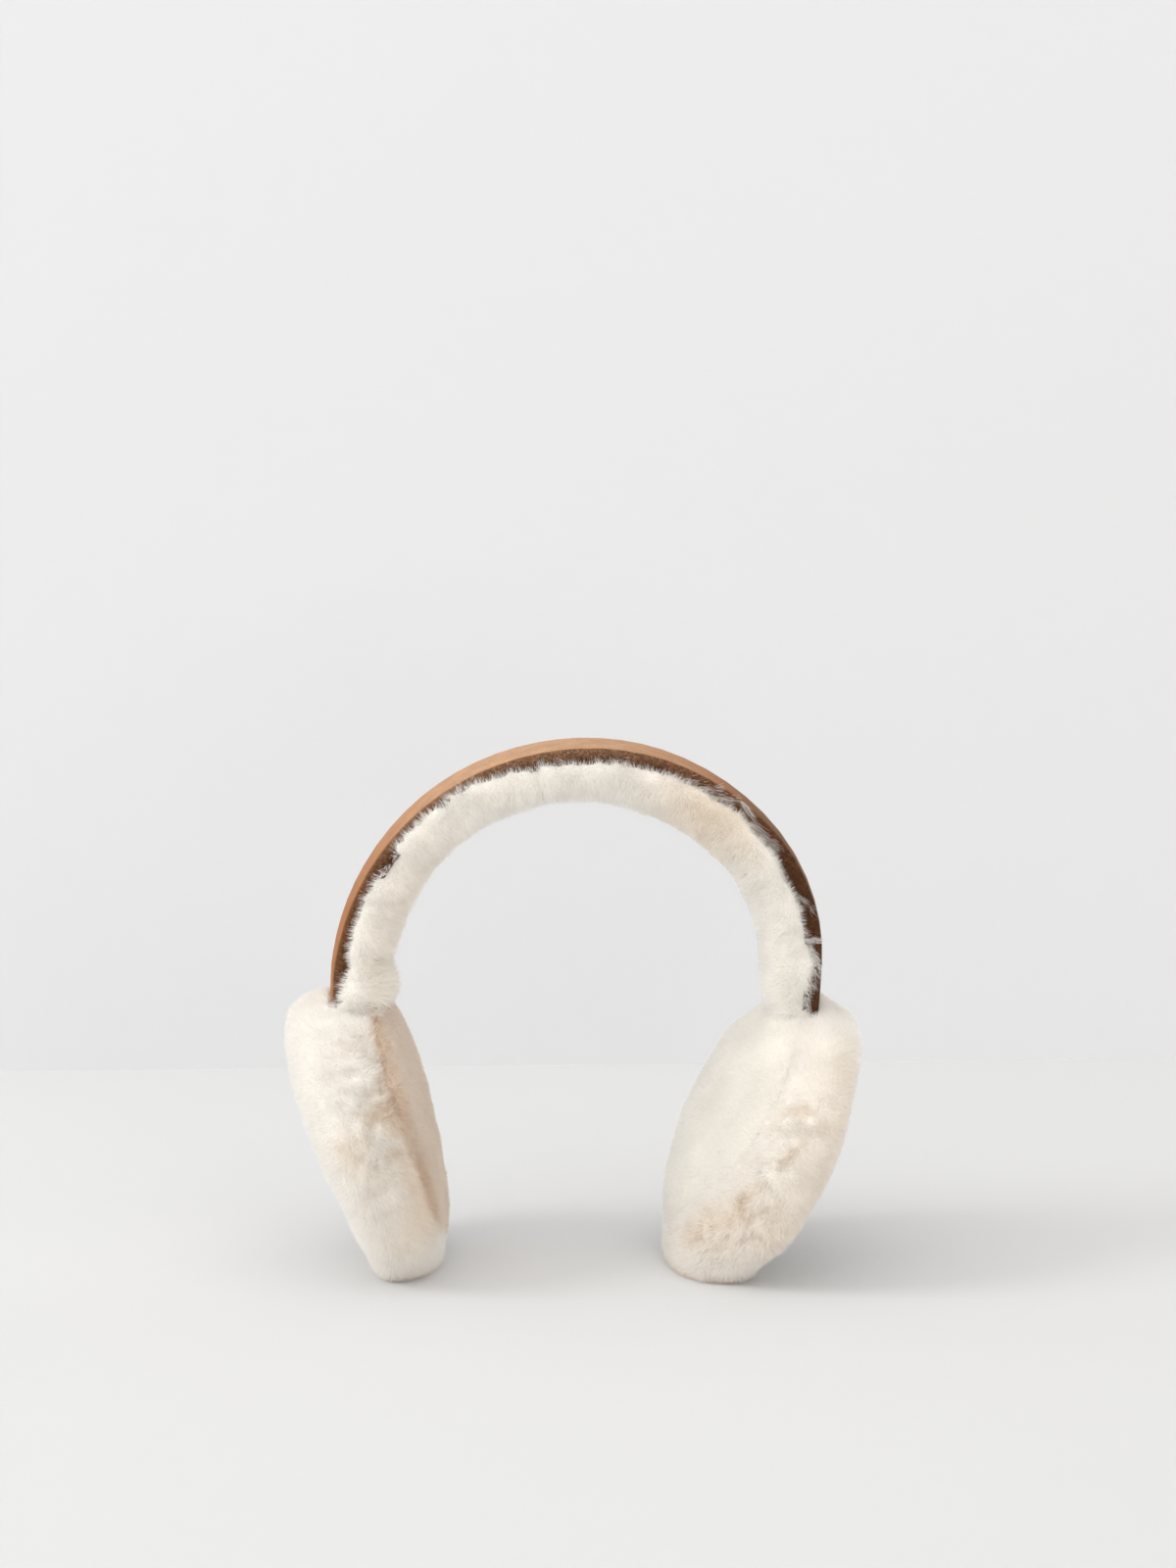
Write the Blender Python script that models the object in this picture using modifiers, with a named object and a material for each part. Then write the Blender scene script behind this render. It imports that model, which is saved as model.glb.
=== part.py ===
"""Fur earmuffs: two round fur pads joined by an arched headband.

The headband is a suede cover, a channel open toward the head, filled with a thick fur lining.
Each pad is an outer panel and an ear panel of fur, sewn together, and the band ends inside the
pads at their seams. The pads stand on the floor, pressed flat where they touch it.
Metres, +Z up, -Y toward the viewer, left and right as seen from there, origin at the bottom centre.
"""

import math
import random
from collections import namedtuple

import bmesh
import bpy
from mathutils import Euler, Matrix, Vector, noise

# Clearance between pieces that touch
GAP = 0.0003

# The headband's path, from the arch's centre to the cover's outer face
ARCH_RADIUS = 0.0804
LEFT_REACH = math.radians(96.0)
STATION_STEP = 0.05

# The suede cover, a channel with rounded edges
COVER_WIDTH = 0.0260
COVER_DEPTH = 0.0057
COVER_WALL = 0.0018
COVER_ROUND = 0.0028
COVER_CROWN = 0.0005
ROUND_STEPS = 3

# The fur lining, from the cover's edges to the pile's tips
PILE_WIDTH = 0.0300
PILE_DEPTH = 0.0133
PILE_SQUARENESS = 3.0
PILE_STEPS = 5
STEM_CHAMFER = 0.0006

# The pads
PAD_RADIUS = 0.0500
PAD_THICKNESS = 0.0380
PAD_CUTS = 9
SEAM_FROM_EAR = 0.0095
SEAM_GROOVE = 0.0014
SEAM_GROOVE_WIDTH = 0.0040
LUMP_HEIGHT = 0.0010
LUMP_LENGTH = 0.0170

# Locks of the pile, standing proud of the backing
TUFT_HEIGHT = 0.0013
TUFT_LEAN = 0.0008
TUFT_SEED = 7

# Rows along the band: the place runs from -1 at the left end over 0 at the top to 1 at the right
# end. Radius is a share of ARCH_RADIUS, pile of PILE_DEPTH and width of PILE_WIDTH.
ArchRow = namedtuple("ArchRow", "along radius pile width")
ARCH_ROWS = (
    ArchRow(-1.000, 1.012, 0.55, 0.90),
    ArchRow(-0.955, 1.012, 0.62, 0.92),
    ArchRow(-0.925, 1.011, 1.00, 0.98),
    ArchRow(-0.893, 1.010, 1.08, 1.02),
    ArchRow(-0.866, 1.008, 0.90, 0.97),
    ArchRow(-0.820, 1.005, 1.06, 1.02),
    ArchRow(-0.640, 0.996, 1.00, 1.00),
    ArchRow(-0.420, 0.990, 0.89, 0.98),
    ArchRow(-0.100, 0.989, 0.87, 0.99),
    ArchRow(0.200, 1.003, 1.02, 1.01),
    ArchRow(0.420, 1.012, 1.08, 1.01),
    ArchRow(0.590, 1.019, 1.14, 1.02),
    ArchRow(0.750, 1.005, 1.12, 1.00),
    ArchRow(0.890, 0.978, 1.00, 1.00),
    ArchRow(0.935, 0.976, 0.92, 0.97),
    ArchRow(1.000, 0.978, 0.60, 0.90),
)

# The pads' own forms. Side is -1 on the left; tilt leans the top outward and turn swings the ear
# side to the front, in degrees. Radius is a share of PAD_RADIUS, ear the part of PAD_THICKNESS on
# the ear side of the widest place, and the wedges say how much each side thickens toward the top.
# Press is the depth that the floor flattens and sink how deep the band ends below the rim, as
# shares of PAD_RADIUS. Socket is the band's place from the ear face, as a share of PAD_THICKNESS.
Pad = namedtuple(
    "Pad", "name side tilt turn radius ear outer_wedge ear_wedge squareness press sink socket"
)
PADS = (
    Pad("left", -1, 16.9, 1.0, 1.00, 0.60, 0.26, 0.18, 3.6, 0.070, 0.18, 0.385),
    Pad("right", 1, 30.8, 7.0, 1.03, 0.66, -0.30, 0.20, 2.5, 0.100, 0.24, 0.305),
)

# Dents in a pad's rim. Around is the angle from the pad's top toward the front, in degrees, and
# across runs from -1 on the outer face to 1 on the ear face. Depth and spread are shares of
# PAD_RADIUS.
Dent = namedtuple("Dent", "around across depth spread")
DENTS = {
    "left": (
        Dent(0.0, 0.20, 0.030, 0.30),
        Dent(44.0, 0.50, 0.050, 0.15),
        Dent(66.0, 0.50, 0.045, 0.15),
        Dent(88.0, 0.42, 0.050, 0.20),
        Dent(112.0, 0.60, 0.025, 0.20),
    ),
    "right": (
        Dent(0.0, 0.20, 0.035, 0.30),
        Dent(93.0, -0.45, 0.040, 0.15),
        Dent(114.0, -0.15, 0.040, 0.15),
        Dent(132.0, 0.05, 0.055, 0.20),
    ),
}

# Colour of each piece, and its roughness
SUEDE_TAN = (0.48, 0.29, 0.17, 1.0)
FUR_CREAM = (0.86, 0.80, 0.73, 1.0)
FUR_EAR = (0.88, 0.81, 0.73, 1.0)
SUEDE_ROUGHNESS = 0.85
FUR_ROUGHNESS = 0.95


def clear_scene():
    """Removes every object that the scene starts with."""
    for obj in list(bpy.data.objects):
        bpy.data.objects.remove(obj, do_unlink=True)


def new_collection(name, helpers=False):
    """A collection of the scene, left out of renders where it holds only helpers."""
    collection = bpy.data.collections.new(name)
    collection.hide_render = helpers
    bpy.context.scene.collection.children.link(collection)
    return collection


def material(name, colour, roughness):
    """A plain Principled material."""
    made = bpy.data.materials.new(name)
    made.use_nodes = True
    shader = made.node_tree.nodes["Principled BSDF"]
    shader.inputs["Base Color"].default_value = colour
    shader.inputs["Roughness"].default_value = roughness
    shader.inputs["Metallic"].default_value = 0.0
    made.diffuse_color = colour
    return made


def new_object(name, bm, collection, finish=None):
    """An object made from a bmesh, which is freed, shaded smooth apart from its sharp edges."""
    mesh = bpy.data.meshes.new(name)
    bm.to_mesh(mesh)
    bm.free()
    mesh.shade_smooth()
    mesh.set_sharp_from_angle(angle=math.radians(50))
    obj = bpy.data.objects.new(name, mesh)
    if finish:
        mesh.materials.append(finish)
    collection.objects.link(obj)
    return obj


def at_place(table, name, place):
    """The value of one column between rows, on a smooth curve through the rows."""
    places = [row[0] for row in table]
    values = [getattr(row, name) for row in table]
    place = min(max(place, places[0]), places[-1])
    low = max(i for i in range(len(places) - 1) if places[i] <= place)

    def slope(i):
        before, after = max(i - 1, 0), min(i + 1, len(places) - 1)
        return (values[after] - values[before]) / (places[after] - places[before])

    step = places[low + 1] - places[low]
    t = (place - places[low]) / step
    rise = values[low + 1] - values[low]
    start, end = slope(low) * step, slope(low + 1) * step
    return values[low] + t * (start + t * (3 * rise - 2 * start - end + t * (start + end - 2 * rise)))


def smooth(value):
    """Eases a value that runs from 0 to 1, and holds it there outside that range."""
    value = min(max(value, 0.0), 1.0)
    return value * value * (3 - 2 * value)


class Arch:
    """The headband's path. A place on it has its share along, its depth and its offset across."""

    def __init__(self, centre, right_reach):
        self.centre = centre
        self.reach = {-1: LEFT_REACH, 1: right_reach}

    def point(self, along, depth, across):
        angle = along * self.reach[1 if along > 0 else -1]
        radius = ARCH_RADIUS * at_place(ARCH_ROWS, "radius", along) - depth
        return self.centre + Vector((radius * math.sin(angle), across, radius * math.cos(angle)))

    def past_end(self, side, length):
        """The share along the path of a place this far beyond one end."""
        return side * (1 + length / (ARCH_RADIUS * self.reach[side]))


def stations(first=-1.0, last=1.0):
    """Places along the band, on each row of its table and at even steps between the rows."""
    inner = [row.along for row in ARCH_ROWS if first < row.along < last]
    rows = [first] + inner + [last]
    places = [first]
    for start, end in zip(rows, rows[1:]):
        steps = max(1, round((end - start) / STATION_STEP))
        places += [start + (end - start) * i / steps for i in range(1, steps + 1)]
    return places


def end_depth(side):
    """How thick the band is at one end."""
    return COVER_DEPTH + PILE_DEPTH * at_place(ARCH_ROWS, "pile", side)


def cover_outline():
    """The cover's outer face across the band, as offsets across and depths, front edge to back."""
    half = COVER_WIDTH / 2
    side = [(half, COVER_DEPTH), (half, (COVER_DEPTH + COVER_ROUND) / 2)]
    for i in range(ROUND_STEPS + 1):
        turn = math.radians(90 * i / ROUND_STEPS)
        across = half - COVER_ROUND * (1 - math.cos(turn))
        side.append((across, COVER_ROUND * (1 - math.sin(turn))))
    side.append((half * 0.4, -COVER_CROWN))
    return [(-across, depth) for across, depth in side] + side[::-1]


def lining_outline(along):
    """The lining's section at one place: a stem inside the cover, and the pile below it."""
    stem = COVER_WIDTH / 2 - COVER_WALL - GAP
    top = COVER_WALL + GAP
    shoulder = COVER_DEPTH + GAP
    half = PILE_WIDTH / 2 * at_place(ARCH_ROWS, "width", along)
    pile = COVER_DEPTH + PILE_DEPTH * at_place(ARCH_ROWS, "pile", along) - shoulder
    side = [(stem - STEM_CHAMFER, top), (stem, top + STEM_CHAMFER), (stem, shoulder)]
    for i in range(PILE_STEPS):
        turn = math.radians(90 * i / PILE_STEPS)
        across = half * math.cos(turn) ** (2 / PILE_SQUARENESS)
        side.append((across, shoulder + pile * math.sin(turn) ** (2 / PILE_SQUARENESS)))
    bottom = [(0.0, shoulder + pile)]
    return side + bottom + [(-across, depth) for across, depth in side[::-1]]


def pocket_outline(along):
    """A plain rectangle that clears the whole band at one place."""
    half = GAP + max(COVER_WIDTH, PILE_WIDTH * at_place(ARCH_ROWS, "width", along)) / 2
    low = GAP + COVER_DEPTH + PILE_DEPTH * at_place(ARCH_ROWS, "pile", along)
    high = -COVER_CROWN - GAP
    return [(half, high), (half, low), (-half, low), (-half, high)]


def swept(arch, places, outline_at, closed):
    """A grid laid over sections along the band, and closed into a solid where asked."""
    count = len(outline_at(places[0]))
    columns = count if closed else count - 1
    bm = bmesh.new()
    bmesh.ops.create_grid(bm, x_segments=len(places) - 1, y_segments=columns, size=1.0)
    outlines = [outline_at(place) for place in places]
    for vert in bm.verts:
        row = round((vert.co.x + 1) / 2 * (len(places) - 1))
        across, depth = outlines[row][round((vert.co.y + 1) / 2 * columns) % count]
        vert.co = arch.point(places[row], depth, across)
    if closed:
        bmesh.ops.remove_doubles(bm, verts=bm.verts, dist=1e-6)
        bmesh.ops.holes_fill(bm, edges=[edge for edge in bm.edges if edge.is_boundary], sides=0)
        bmesh.ops.recalc_face_normals(bm, faces=bm.faces)
    return bm


def raise_tufts(bm, faces, fade, lean):
    """Pokes faces into low locks of pile, whose tips lean one way and fade out where asked."""
    chance = random.Random(TUFT_SEED)
    bm.normal_update()
    normals = [face.normal.copy() for face in faces]
    tips = bmesh.ops.poke(bm, faces=faces)["verts"]
    for tip, normal in zip(tips, normals):
        share = chance.uniform(0.45, 1.0) * fade(tip.co)
        tip.co += share * (TUFT_HEIGHT * normal + TUFT_LEAN * (lean - lean.dot(normal) * normal))


def build_cover(arch, collection):
    """The suede cover: the outer face of the band, thickened inward."""
    bm = swept(arch, stations(), lambda along: cover_outline(), closed=False)
    bm.normal_update()
    top = max(bm.faces, key=lambda face: face.calc_center_median().z)
    if top.normal.z < 0:
        bmesh.ops.reverse_faces(bm, faces=bm.faces)
    finish = material("suede_tan", SUEDE_TAN, SUEDE_ROUGHNESS)
    cover = new_object("suede_cover", bm, collection, finish)
    wall = cover.modifiers.new("wall", "SOLIDIFY")
    wall.thickness = COVER_WALL
    wall.offset = -1.0
    wall.use_even_offset = True
    return cover


def build_lining(arch, collection):
    """The fur lining: its stem fills the cover, and its pile stands toward the head in locks."""
    bm = swept(arch, stations(), lining_outline, closed=True)
    clear = COVER_DEPTH + PILE_DEPTH * 0.15
    middle = arch.centre

    def depth_of(point):
        away = point - middle
        angle = math.atan2(away.x, away.z)
        along = angle / arch.reach[1 if angle > 0 else -1]
        radius = ARCH_RADIUS * at_place(ARCH_ROWS, "radius", along)
        return radius - math.hypot(away.x, away.z), abs(along)

    def fade(point):
        depth, along = depth_of(point)
        return smooth((depth - clear) / (PILE_DEPTH * 0.2)) * smooth((0.91 - along) / 0.06)

    pile = [face for face in bm.faces if len(face.verts) == 4 and fade(face.calc_center_median()) > 0]
    raise_tufts(bm, pile, fade, Vector((0.0, 0.0, -1.0)))
    return new_object("fur_lining", bm, collection, material("fur_lining", FUR_CREAM, FUR_ROUGHNESS))


def pad_rotation(pad):
    """Turns a pad's own axes, ear side +X and rim top +Z, into the object's."""
    swing = 180.0 if pad.side > 0 else 0.0
    return Euler((0.0, -math.radians(pad.tilt), math.radians(swing + pad.side * pad.turn)))


def ear_face(pad):
    """How far a pad's ear face lies from its widest place."""
    return PAD_THICKNESS * pad.ear


def seam_place(pad):
    """How far the seam between a pad's panels lies from its widest place."""
    return ear_face(pad) - SEAM_FROM_EAR


def pad_surface(pad, direction):
    """The point of a pad's surface, a rounded drum, that a direction from its middle meets."""
    square = pad.squareness
    spread = math.hypot(direction.y, direction.z)
    reach = (abs(direction.x) ** square + spread**square) ** (-1 / square)
    point = direction * reach
    part, wedge = (pad.ear, pad.ear_wedge) if point.x > 0 else (1 - pad.ear, pad.outer_wedge)
    half = PAD_THICKNESS * part * (1 + wedge * point.z)
    radius = PAD_RADIUS * pad.radius
    return Vector((point.x * half, point.y * radius, point.z * radius))


def dent_depth(pad, point):
    """How far the pad's seam groove and its dents press a point of the rim inward."""
    radius = PAD_RADIUS * pad.radius
    groove = SEAM_GROOVE * math.exp(-(((point.x - seam_place(pad)) / SEAM_GROOVE_WIDTH) ** 2))
    depth = groove * smooth(math.hypot(point.y, point.z) / radius * 2 - 0.8)
    for dent in DENTS[pad.name]:
        turn = math.radians(dent.around)
        front = pad.side * math.sin(turn)
        across = ear_face(pad) - PAD_THICKNESS * (1 - dent.across) / 2
        place = Vector((across, front * radius, math.cos(turn) * radius))
        away = (point - place).length / (dent.spread * PAD_RADIUS)
        depth += dent.depth * PAD_RADIUS * math.exp(-away * away)
    return depth


def pad_form(pad):
    """A whole pad around its own middle, ear side +X: a rounded drum with dents, lumps and locks."""
    bm = bmesh.new()
    bmesh.ops.create_cube(bm, size=2.0)
    bmesh.ops.subdivide_edges(bm, edges=bm.edges, cuts=PAD_CUTS, use_grid_fill=True)
    for vert in bm.verts:
        point = pad_surface(pad, vert.co.normalized())
        inward = -point.normalized()
        lump = noise.noise(point / LUMP_LENGTH + Vector((0.0, 0.0, 3.0 * pad.side)))
        vert.co = point + inward * (dent_depth(pad, point) - LUMP_HEIGHT * lump)
    bmesh.ops.recalc_face_normals(bm, faces=bm.faces)
    down = pad_rotation(pad).to_matrix().transposed() @ Vector((0.0, 0.0, -1.0))

    def fade(point):
        return smooth((abs(point.x - seam_place(pad)) - SEAM_GROOVE_WIDTH) / SEAM_GROOVE_WIDTH)

    raise_tufts(bm, list(bm.faces), fade, down)
    return bm


class PadPlace:
    """Where a pad stands: its middle's height, and the socket that the band's end sits in."""

    def __init__(self, pad):
        self.pad = pad
        self.form = pad_form(pad)
        self.rotation = pad_rotation(pad)
        turned = self.rotation.to_matrix()
        lowest = min((turned @ vert.co).z for vert in self.form.verts)
        self.height = -lowest - pad.press * PAD_RADIUS
        across = ear_face(pad) - PAD_THICKNESS * pad.socket
        socket = Vector((across, 0.0, PAD_RADIUS * (pad.radius - pad.sink)))
        self.socket = turned @ socket
        self.location = Vector((0.0, 0.0, self.height))

    def socket_height(self):
        return self.height + self.socket.z

    def meet(self, band_end):
        """Places the pad so that its socket holds the band's end."""
        self.location = Vector((band_end.x - self.socket.x, -self.socket.y, self.height))


def lay_out(places):
    """The arch that meets both sockets. It leaves each pad at its own end of the band."""
    left, right = places
    middles = {}
    for side in (-1, 1):
        outer = ARCH_RADIUS * at_place(ARCH_ROWS, "radius", side)
        middles[side] = outer - end_depth(side) / 2
    centre = Vector((0.0, 0.0, left.socket_height() - middles[-1] * math.cos(LEFT_REACH)))
    right_reach = math.acos((right.socket_height() - centre.z) / middles[1])
    arch = Arch(centre, right_reach)
    for side, place in zip((-1, 1), places):
        place.meet(arch.point(side, end_depth(side) / 2, 0.0))
    return arch


def build_pocket(arch, place, collection):
    """The cutter that opens a pad's top for the band's end."""
    side = place.pad.side
    inner, end = 0.78, abs(arch.past_end(side, GAP))
    reach = (inner, end) if side > 0 else (-end, -inner)
    bm = swept(arch, stations(*reach), pocket_outline, closed=True)
    cutter = new_object(f"pocket_{place.pad.name}", bm, collection)
    cutter.hide_render = True
    cutter.display_type = "WIRE"
    return cutter


def build_panels(place, pocket, collection):
    """Both panels of a pad, parted at the seam and opened for the band's end."""
    turned = place.rotation.to_matrix().to_4x4()
    world = Matrix.Translation(place.location) @ turned
    back = world.inverted()
    panels = []
    for kind, facing, colour in (("outer", 1, FUR_CREAM), ("inner", -1, FUR_EAR)):
        bm = place.form.copy()
        for vert in bm.verts:
            point = world @ vert.co
            point.z = max(point.z, 0.0)
            vert.co = back @ point
        seam = Vector((seam_place(place.pad) - facing * GAP / 2, 0.0, 0.0))
        everything = bm.verts[:] + bm.edges[:] + bm.faces[:]
        normal = Vector((facing, 0.0, 0.0))
        bmesh.ops.bisect_plane(bm, geom=everything, plane_co=seam, plane_no=normal, clear_outer=True)
        bmesh.ops.holes_fill(bm, edges=[edge for edge in bm.edges if edge.is_boundary], sides=0)
        bmesh.ops.recalc_face_normals(bm, faces=bm.faces)
        name = f"{place.pad.name}_pad_{kind}"
        panel = new_object(name, bm, collection, material(name, colour, FUR_ROUGHNESS))
        panel.location = place.location
        panel.rotation_euler = place.rotation
        opening = panel.modifiers.new("pocket", "BOOLEAN")
        opening.operation = "DIFFERENCE"
        opening.solver = "EXACT"
        opening.object = pocket
        panels.append(panel)
    place.form.free()
    return panels


def centre_on_origin(pieces, helpers, collection):
    """Parents everything to an empty, placed so that the object's bottom centre is the origin."""
    bpy.context.view_layer.update()
    graph = bpy.context.evaluated_depsgraph_get()
    corners = []
    for piece in pieces:
        seen = piece.evaluated_get(graph)
        corners += [seen.matrix_world @ vert.co for vert in seen.data.vertices]
    root = bpy.data.objects.new("earmuffs", None)
    collection.objects.link(root)
    for axis in (0, 1):
        values = [corner[axis] for corner in corners]
        root.location[axis] = -(min(values) + max(values)) / 2
    for obj in pieces + helpers:
        obj.parent = root


def main():
    clear_scene()
    parts = new_collection("fur_earmuffs")
    cutters = new_collection("cutters", helpers=True)
    places = [PadPlace(pad) for pad in PADS]
    arch = lay_out(places)
    pieces = [build_cover(arch, parts), build_lining(arch, parts)]
    pockets = [build_pocket(arch, place, cutters) for place in places]
    for place, pocket in zip(places, pockets):
        pieces += build_panels(place, pocket, parts)
    centre_on_origin(pieces, pockets, parts)


if __name__ == "__main__":
    main()
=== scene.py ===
"""Dresses a pair of fur earmuffs: shearling pads, a fur-lined headband and its suede cover.

The solids of the pads and the lining give each fur body its form, and strands of pile grow out
of those bodies.
"""

import logging
import math
from contextlib import contextmanager
from dataclasses import dataclass
from enum import Enum
from typing import Any, Callable, Iterator, Sequence

import bmesh
import bpy
import numpy as np
from mathutils import Euler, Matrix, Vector, noise
from mathutils.bvhtree import BVHTree


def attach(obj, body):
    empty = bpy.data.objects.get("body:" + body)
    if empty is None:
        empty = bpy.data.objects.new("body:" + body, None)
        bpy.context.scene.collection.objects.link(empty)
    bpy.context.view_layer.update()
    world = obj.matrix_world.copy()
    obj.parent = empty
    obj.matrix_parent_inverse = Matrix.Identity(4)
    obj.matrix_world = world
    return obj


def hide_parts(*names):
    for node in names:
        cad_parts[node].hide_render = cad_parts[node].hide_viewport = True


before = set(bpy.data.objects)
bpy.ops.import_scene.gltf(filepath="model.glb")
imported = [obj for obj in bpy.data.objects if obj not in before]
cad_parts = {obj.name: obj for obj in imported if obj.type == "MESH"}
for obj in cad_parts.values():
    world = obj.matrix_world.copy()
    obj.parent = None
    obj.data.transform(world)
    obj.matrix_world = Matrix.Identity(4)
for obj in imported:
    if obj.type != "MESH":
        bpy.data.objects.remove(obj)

LOG = logging.getLogger("earmuffs")
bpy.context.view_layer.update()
BODY = "root"
Colour = tuple[float, float, float, float]


class Side(Enum):
    """The side that a pad stands on, as seen from the front."""

    LEFT = -1
    RIGHT = 1


class Panel(Enum):
    """The two panels that a pad is sewn from."""

    OUTER = "outer"
    INNER = "inner"


def srgb(red: float, green: float, blue: float) -> Colour:
    """Turns a colour of 0 to 255 a channel into the linear values that shaders take.

    Args:
        red: The red channel.
        green: The green channel.
        blue: The blue channel.

    Returns:
        The colour with an alpha of 1.
    """
    channels = [channel / 255 for channel in (red, green, blue)]
    low = [channel / 12.92 for channel in channels]
    high = [((channel + 0.055) / 1.055) ** 2.4 for channel in channels]
    linear = [dark if channel <= 0.04045 else light for channel, dark, light in zip(channels, low, high)]
    return (linear[0], linear[1], linear[2], 1.0)


class Graph:
    """A node tree with short ways to add nodes and to join them."""

    def __init__(self, tree: bpy.types.NodeTree) -> None:
        """Keeps the tree that the nodes go in."""
        self.tree = tree

    def add(self, kind: str, values: dict[Any, Any] | None = None, **settings: Any) -> bpy.types.Node:
        """Adds a node, sets its options, and fills its inputs.

        Args:
            kind: The node's Blender type name.
            values: What each input, named by its name or its place, holds or is joined to.
            settings: The node's own options.

        Returns:
            The new node.
        """
        node = self.tree.nodes.new(kind)
        for name, value in settings.items():
            setattr(node, name, value)
        for place, value in (values or {}).items():
            self.feed(node, place, value)
        return node

    def feed(self, node: bpy.types.Node, place: Any, value: Any) -> None:
        """Joins an output to an input, or sets the input's value.

        Args:
            node: The node that is fed.
            place: The input's name or place.
            value: A node, a socket or a plain value.
        """
        socket = node.inputs[place]
        if isinstance(value, bpy.types.Node):
            value = value.outputs[0]
        if isinstance(value, bpy.types.NodeSocket):
            self.tree.links.new(value, socket)
        else:
            socket.default_value = value

    def math(self, operation: str, *values: Any, clamp: bool = False) -> bpy.types.NodeSocket:
        """Adds a Math node over plain values or sockets.

        Args:
            operation: The node's operation.
            values: Its inputs.
            clamp: Whether it stays in 0 to 1.

        Returns:
            The node's output.
        """
        node = self.add("ShaderNodeMath", dict(enumerate(values)), operation=operation)
        node.use_clamp = clamp
        return node.outputs[0]

    def vector(self, operation: str, *values: Any) -> bpy.types.NodeSocket:
        """Adds a Vector Math node, and gives its vector output."""
        node = self.add("ShaderNodeVectorMath", dict(enumerate(values)), operation=operation)
        return node.outputs["Vector"]

    def scaled(self, vector: Any, by: Any) -> bpy.types.NodeSocket:
        """Scales a vector by a number, and gives the result."""
        node = self.add("ShaderNodeVectorMath", {0: vector, "Scale": by}, operation="SCALE")
        return node.outputs["Vector"]

    def ramp(
        self, value: Any, low: float, high: float, start: float = 0.0, end: float = 1.0
    ) -> bpy.types.NodeSocket:
        """Eases a value from one range into another.

        Args:
            value: The value.
            low: Where it starts.
            high: Where it ends.
            start: The result at low.
            end: The result at high.

        Returns:
            The eased value.
        """
        places = {0: value, 1: low, 2: high, 3: start, 4: end}
        node = self.add("ShaderNodeMapRange", places, interpolation_type="SMOOTHSTEP")
        return node.outputs[0]

    def blend(self, share: Any, first: Any, second: Any, kind: str = "MIX") -> bpy.types.NodeSocket:
        """Mixes two colours.

        Args:
            share: How much of the second.
            first: The first colour.
            second: The second colour.
            kind: How they mix.

        Returns:
            The mixed colour.
        """
        node = self.add("ShaderNodeMix", data_type="RGBA", blend_type=kind)
        for place, value in ((0, share), (6, first), (7, second)):
            self.feed(node, place, value)
        return node.outputs[2]

    def attribute(self, name: str) -> bpy.types.NodeSocket:
        """Reads a number that the mesh carries, in a material."""
        return self.add("ShaderNodeAttribute", attribute_name=name).outputs["Fac"]

    def noise(self, size: float, detail: float = 2.0) -> bpy.types.NodeSocket:
        """Adds soft noise over a material.

        Args:
            size: How long a lump is.
            detail: How many finer layers it has.

        Returns:
            The noise, from 0 to 1.
        """
        place = self.add("ShaderNodeTexCoord").outputs["Object"]
        values = {"Vector": place, "Scale": 1 / size, "Detail": detail}
        return self.add("ShaderNodeTexNoise", values).outputs["Fac"]

    def toned(self, colour: Any, level: Any) -> bpy.types.NodeSocket:
        """Makes a colour lighter or darker, and gives the result."""
        grey = self.add("ShaderNodeCombineColor", {0: level, 1: level, 2: level})
        return self.blend(1.0, colour, grey, "MULTIPLY")

    def bump(self, strength: float, distance: float, height: Any) -> bpy.types.Node:
        """Adds a Bump node over a height."""
        return self.add("ShaderNodeBump", {"Strength": strength, "Distance": distance, "Height": height})


def new_material(
    name: str, roughness: float, specular: float, sheen: float = 0.0, sheen_roughness: float = 0.5
) -> tuple[bpy.types.Material, Graph, bpy.types.Node]:
    """Starts a material.

    Args:
        name: The material's name.
        roughness: How rough it is.
        specular: How strongly it shines.
        sheen: How much sheen it has.
        sheen_roughness: How rough the sheen is.

    Returns:
        The material, its graph and its Principled shader.
    """
    made = bpy.data.materials.new(name)
    made.use_nodes = True
    shader = made.node_tree.nodes["Principled BSDF"]
    levels = {"Roughness": roughness, "Specular IOR Level": specular}
    levels |= {"Sheen Weight": sheen, "Sheen Roughness": sheen_roughness}
    for place, level in levels.items():
        shader.inputs[place].default_value = level
    return made, Graph(made.node_tree), shader


@dataclass(frozen=True)
class PileFinish:
    """The look of fur pile, as a dense body or as the strands that stand on it."""

    name: str
    root: Colour
    tip: Colour
    # The colour painted in as shade in creases, hollows, at the foot and on shaded sides.
    crease: Colour
    mottle: float = 0.07
    mottle_size: float = 0.012
    grain: float = 0.0
    grain_size: float = 0.0006
    grain_depth: float = 0.0004
    through: float = 0.0
    sheen: float = 0.2

    def material(self) -> bpy.types.Material:
        """Builds the material.

        Returns:
            A material that runs from root to tip, blends toward the crease colour as painted shade
            where the mesh says shade falls, and is mottled.
        """
        made, graph, shader = new_material(self.name, 0.9, 0.15, self.sheen, 0.45)
        tip = graph.ramp(graph.attribute("tip"), 0.0, 0.7)
        colour = graph.blend(tip, self.root, self.tip)
        # Painted shade: the colour blends toward the crease colour where the mesh says shade falls.
        colour = graph.blend(graph.attribute("warm"), colour, self.crease)
        spread = graph.math("SUBTRACT", graph.attribute("shade"), 0.5)
        broad = graph.noise(self.mottle_size, 3.0)
        lift = graph.math("MULTIPLY_ADD", broad, self.mottle, 1 - self.mottle * 0.5)
        colour = graph.toned(colour, graph.math("MULTIPLY_ADD", spread, self.mottle, lift))
        graph.feed(shader, "Base Color", colour)
        if self.grain:
            fine = graph.noise(self.grain_size)
            graph.feed(shader, "Normal", graph.bump(self.grain, self.grain_depth, fine))
        if self.through:
            lit = graph.add("ShaderNodeBsdfTranslucent", {"Color": colour})
            mixed = graph.add("ShaderNodeMixShader", {0: self.through, 1: shader, 2: lit})
            graph.feed(made.node_tree.nodes["Material Output"], "Surface", mixed)
        return made


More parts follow.
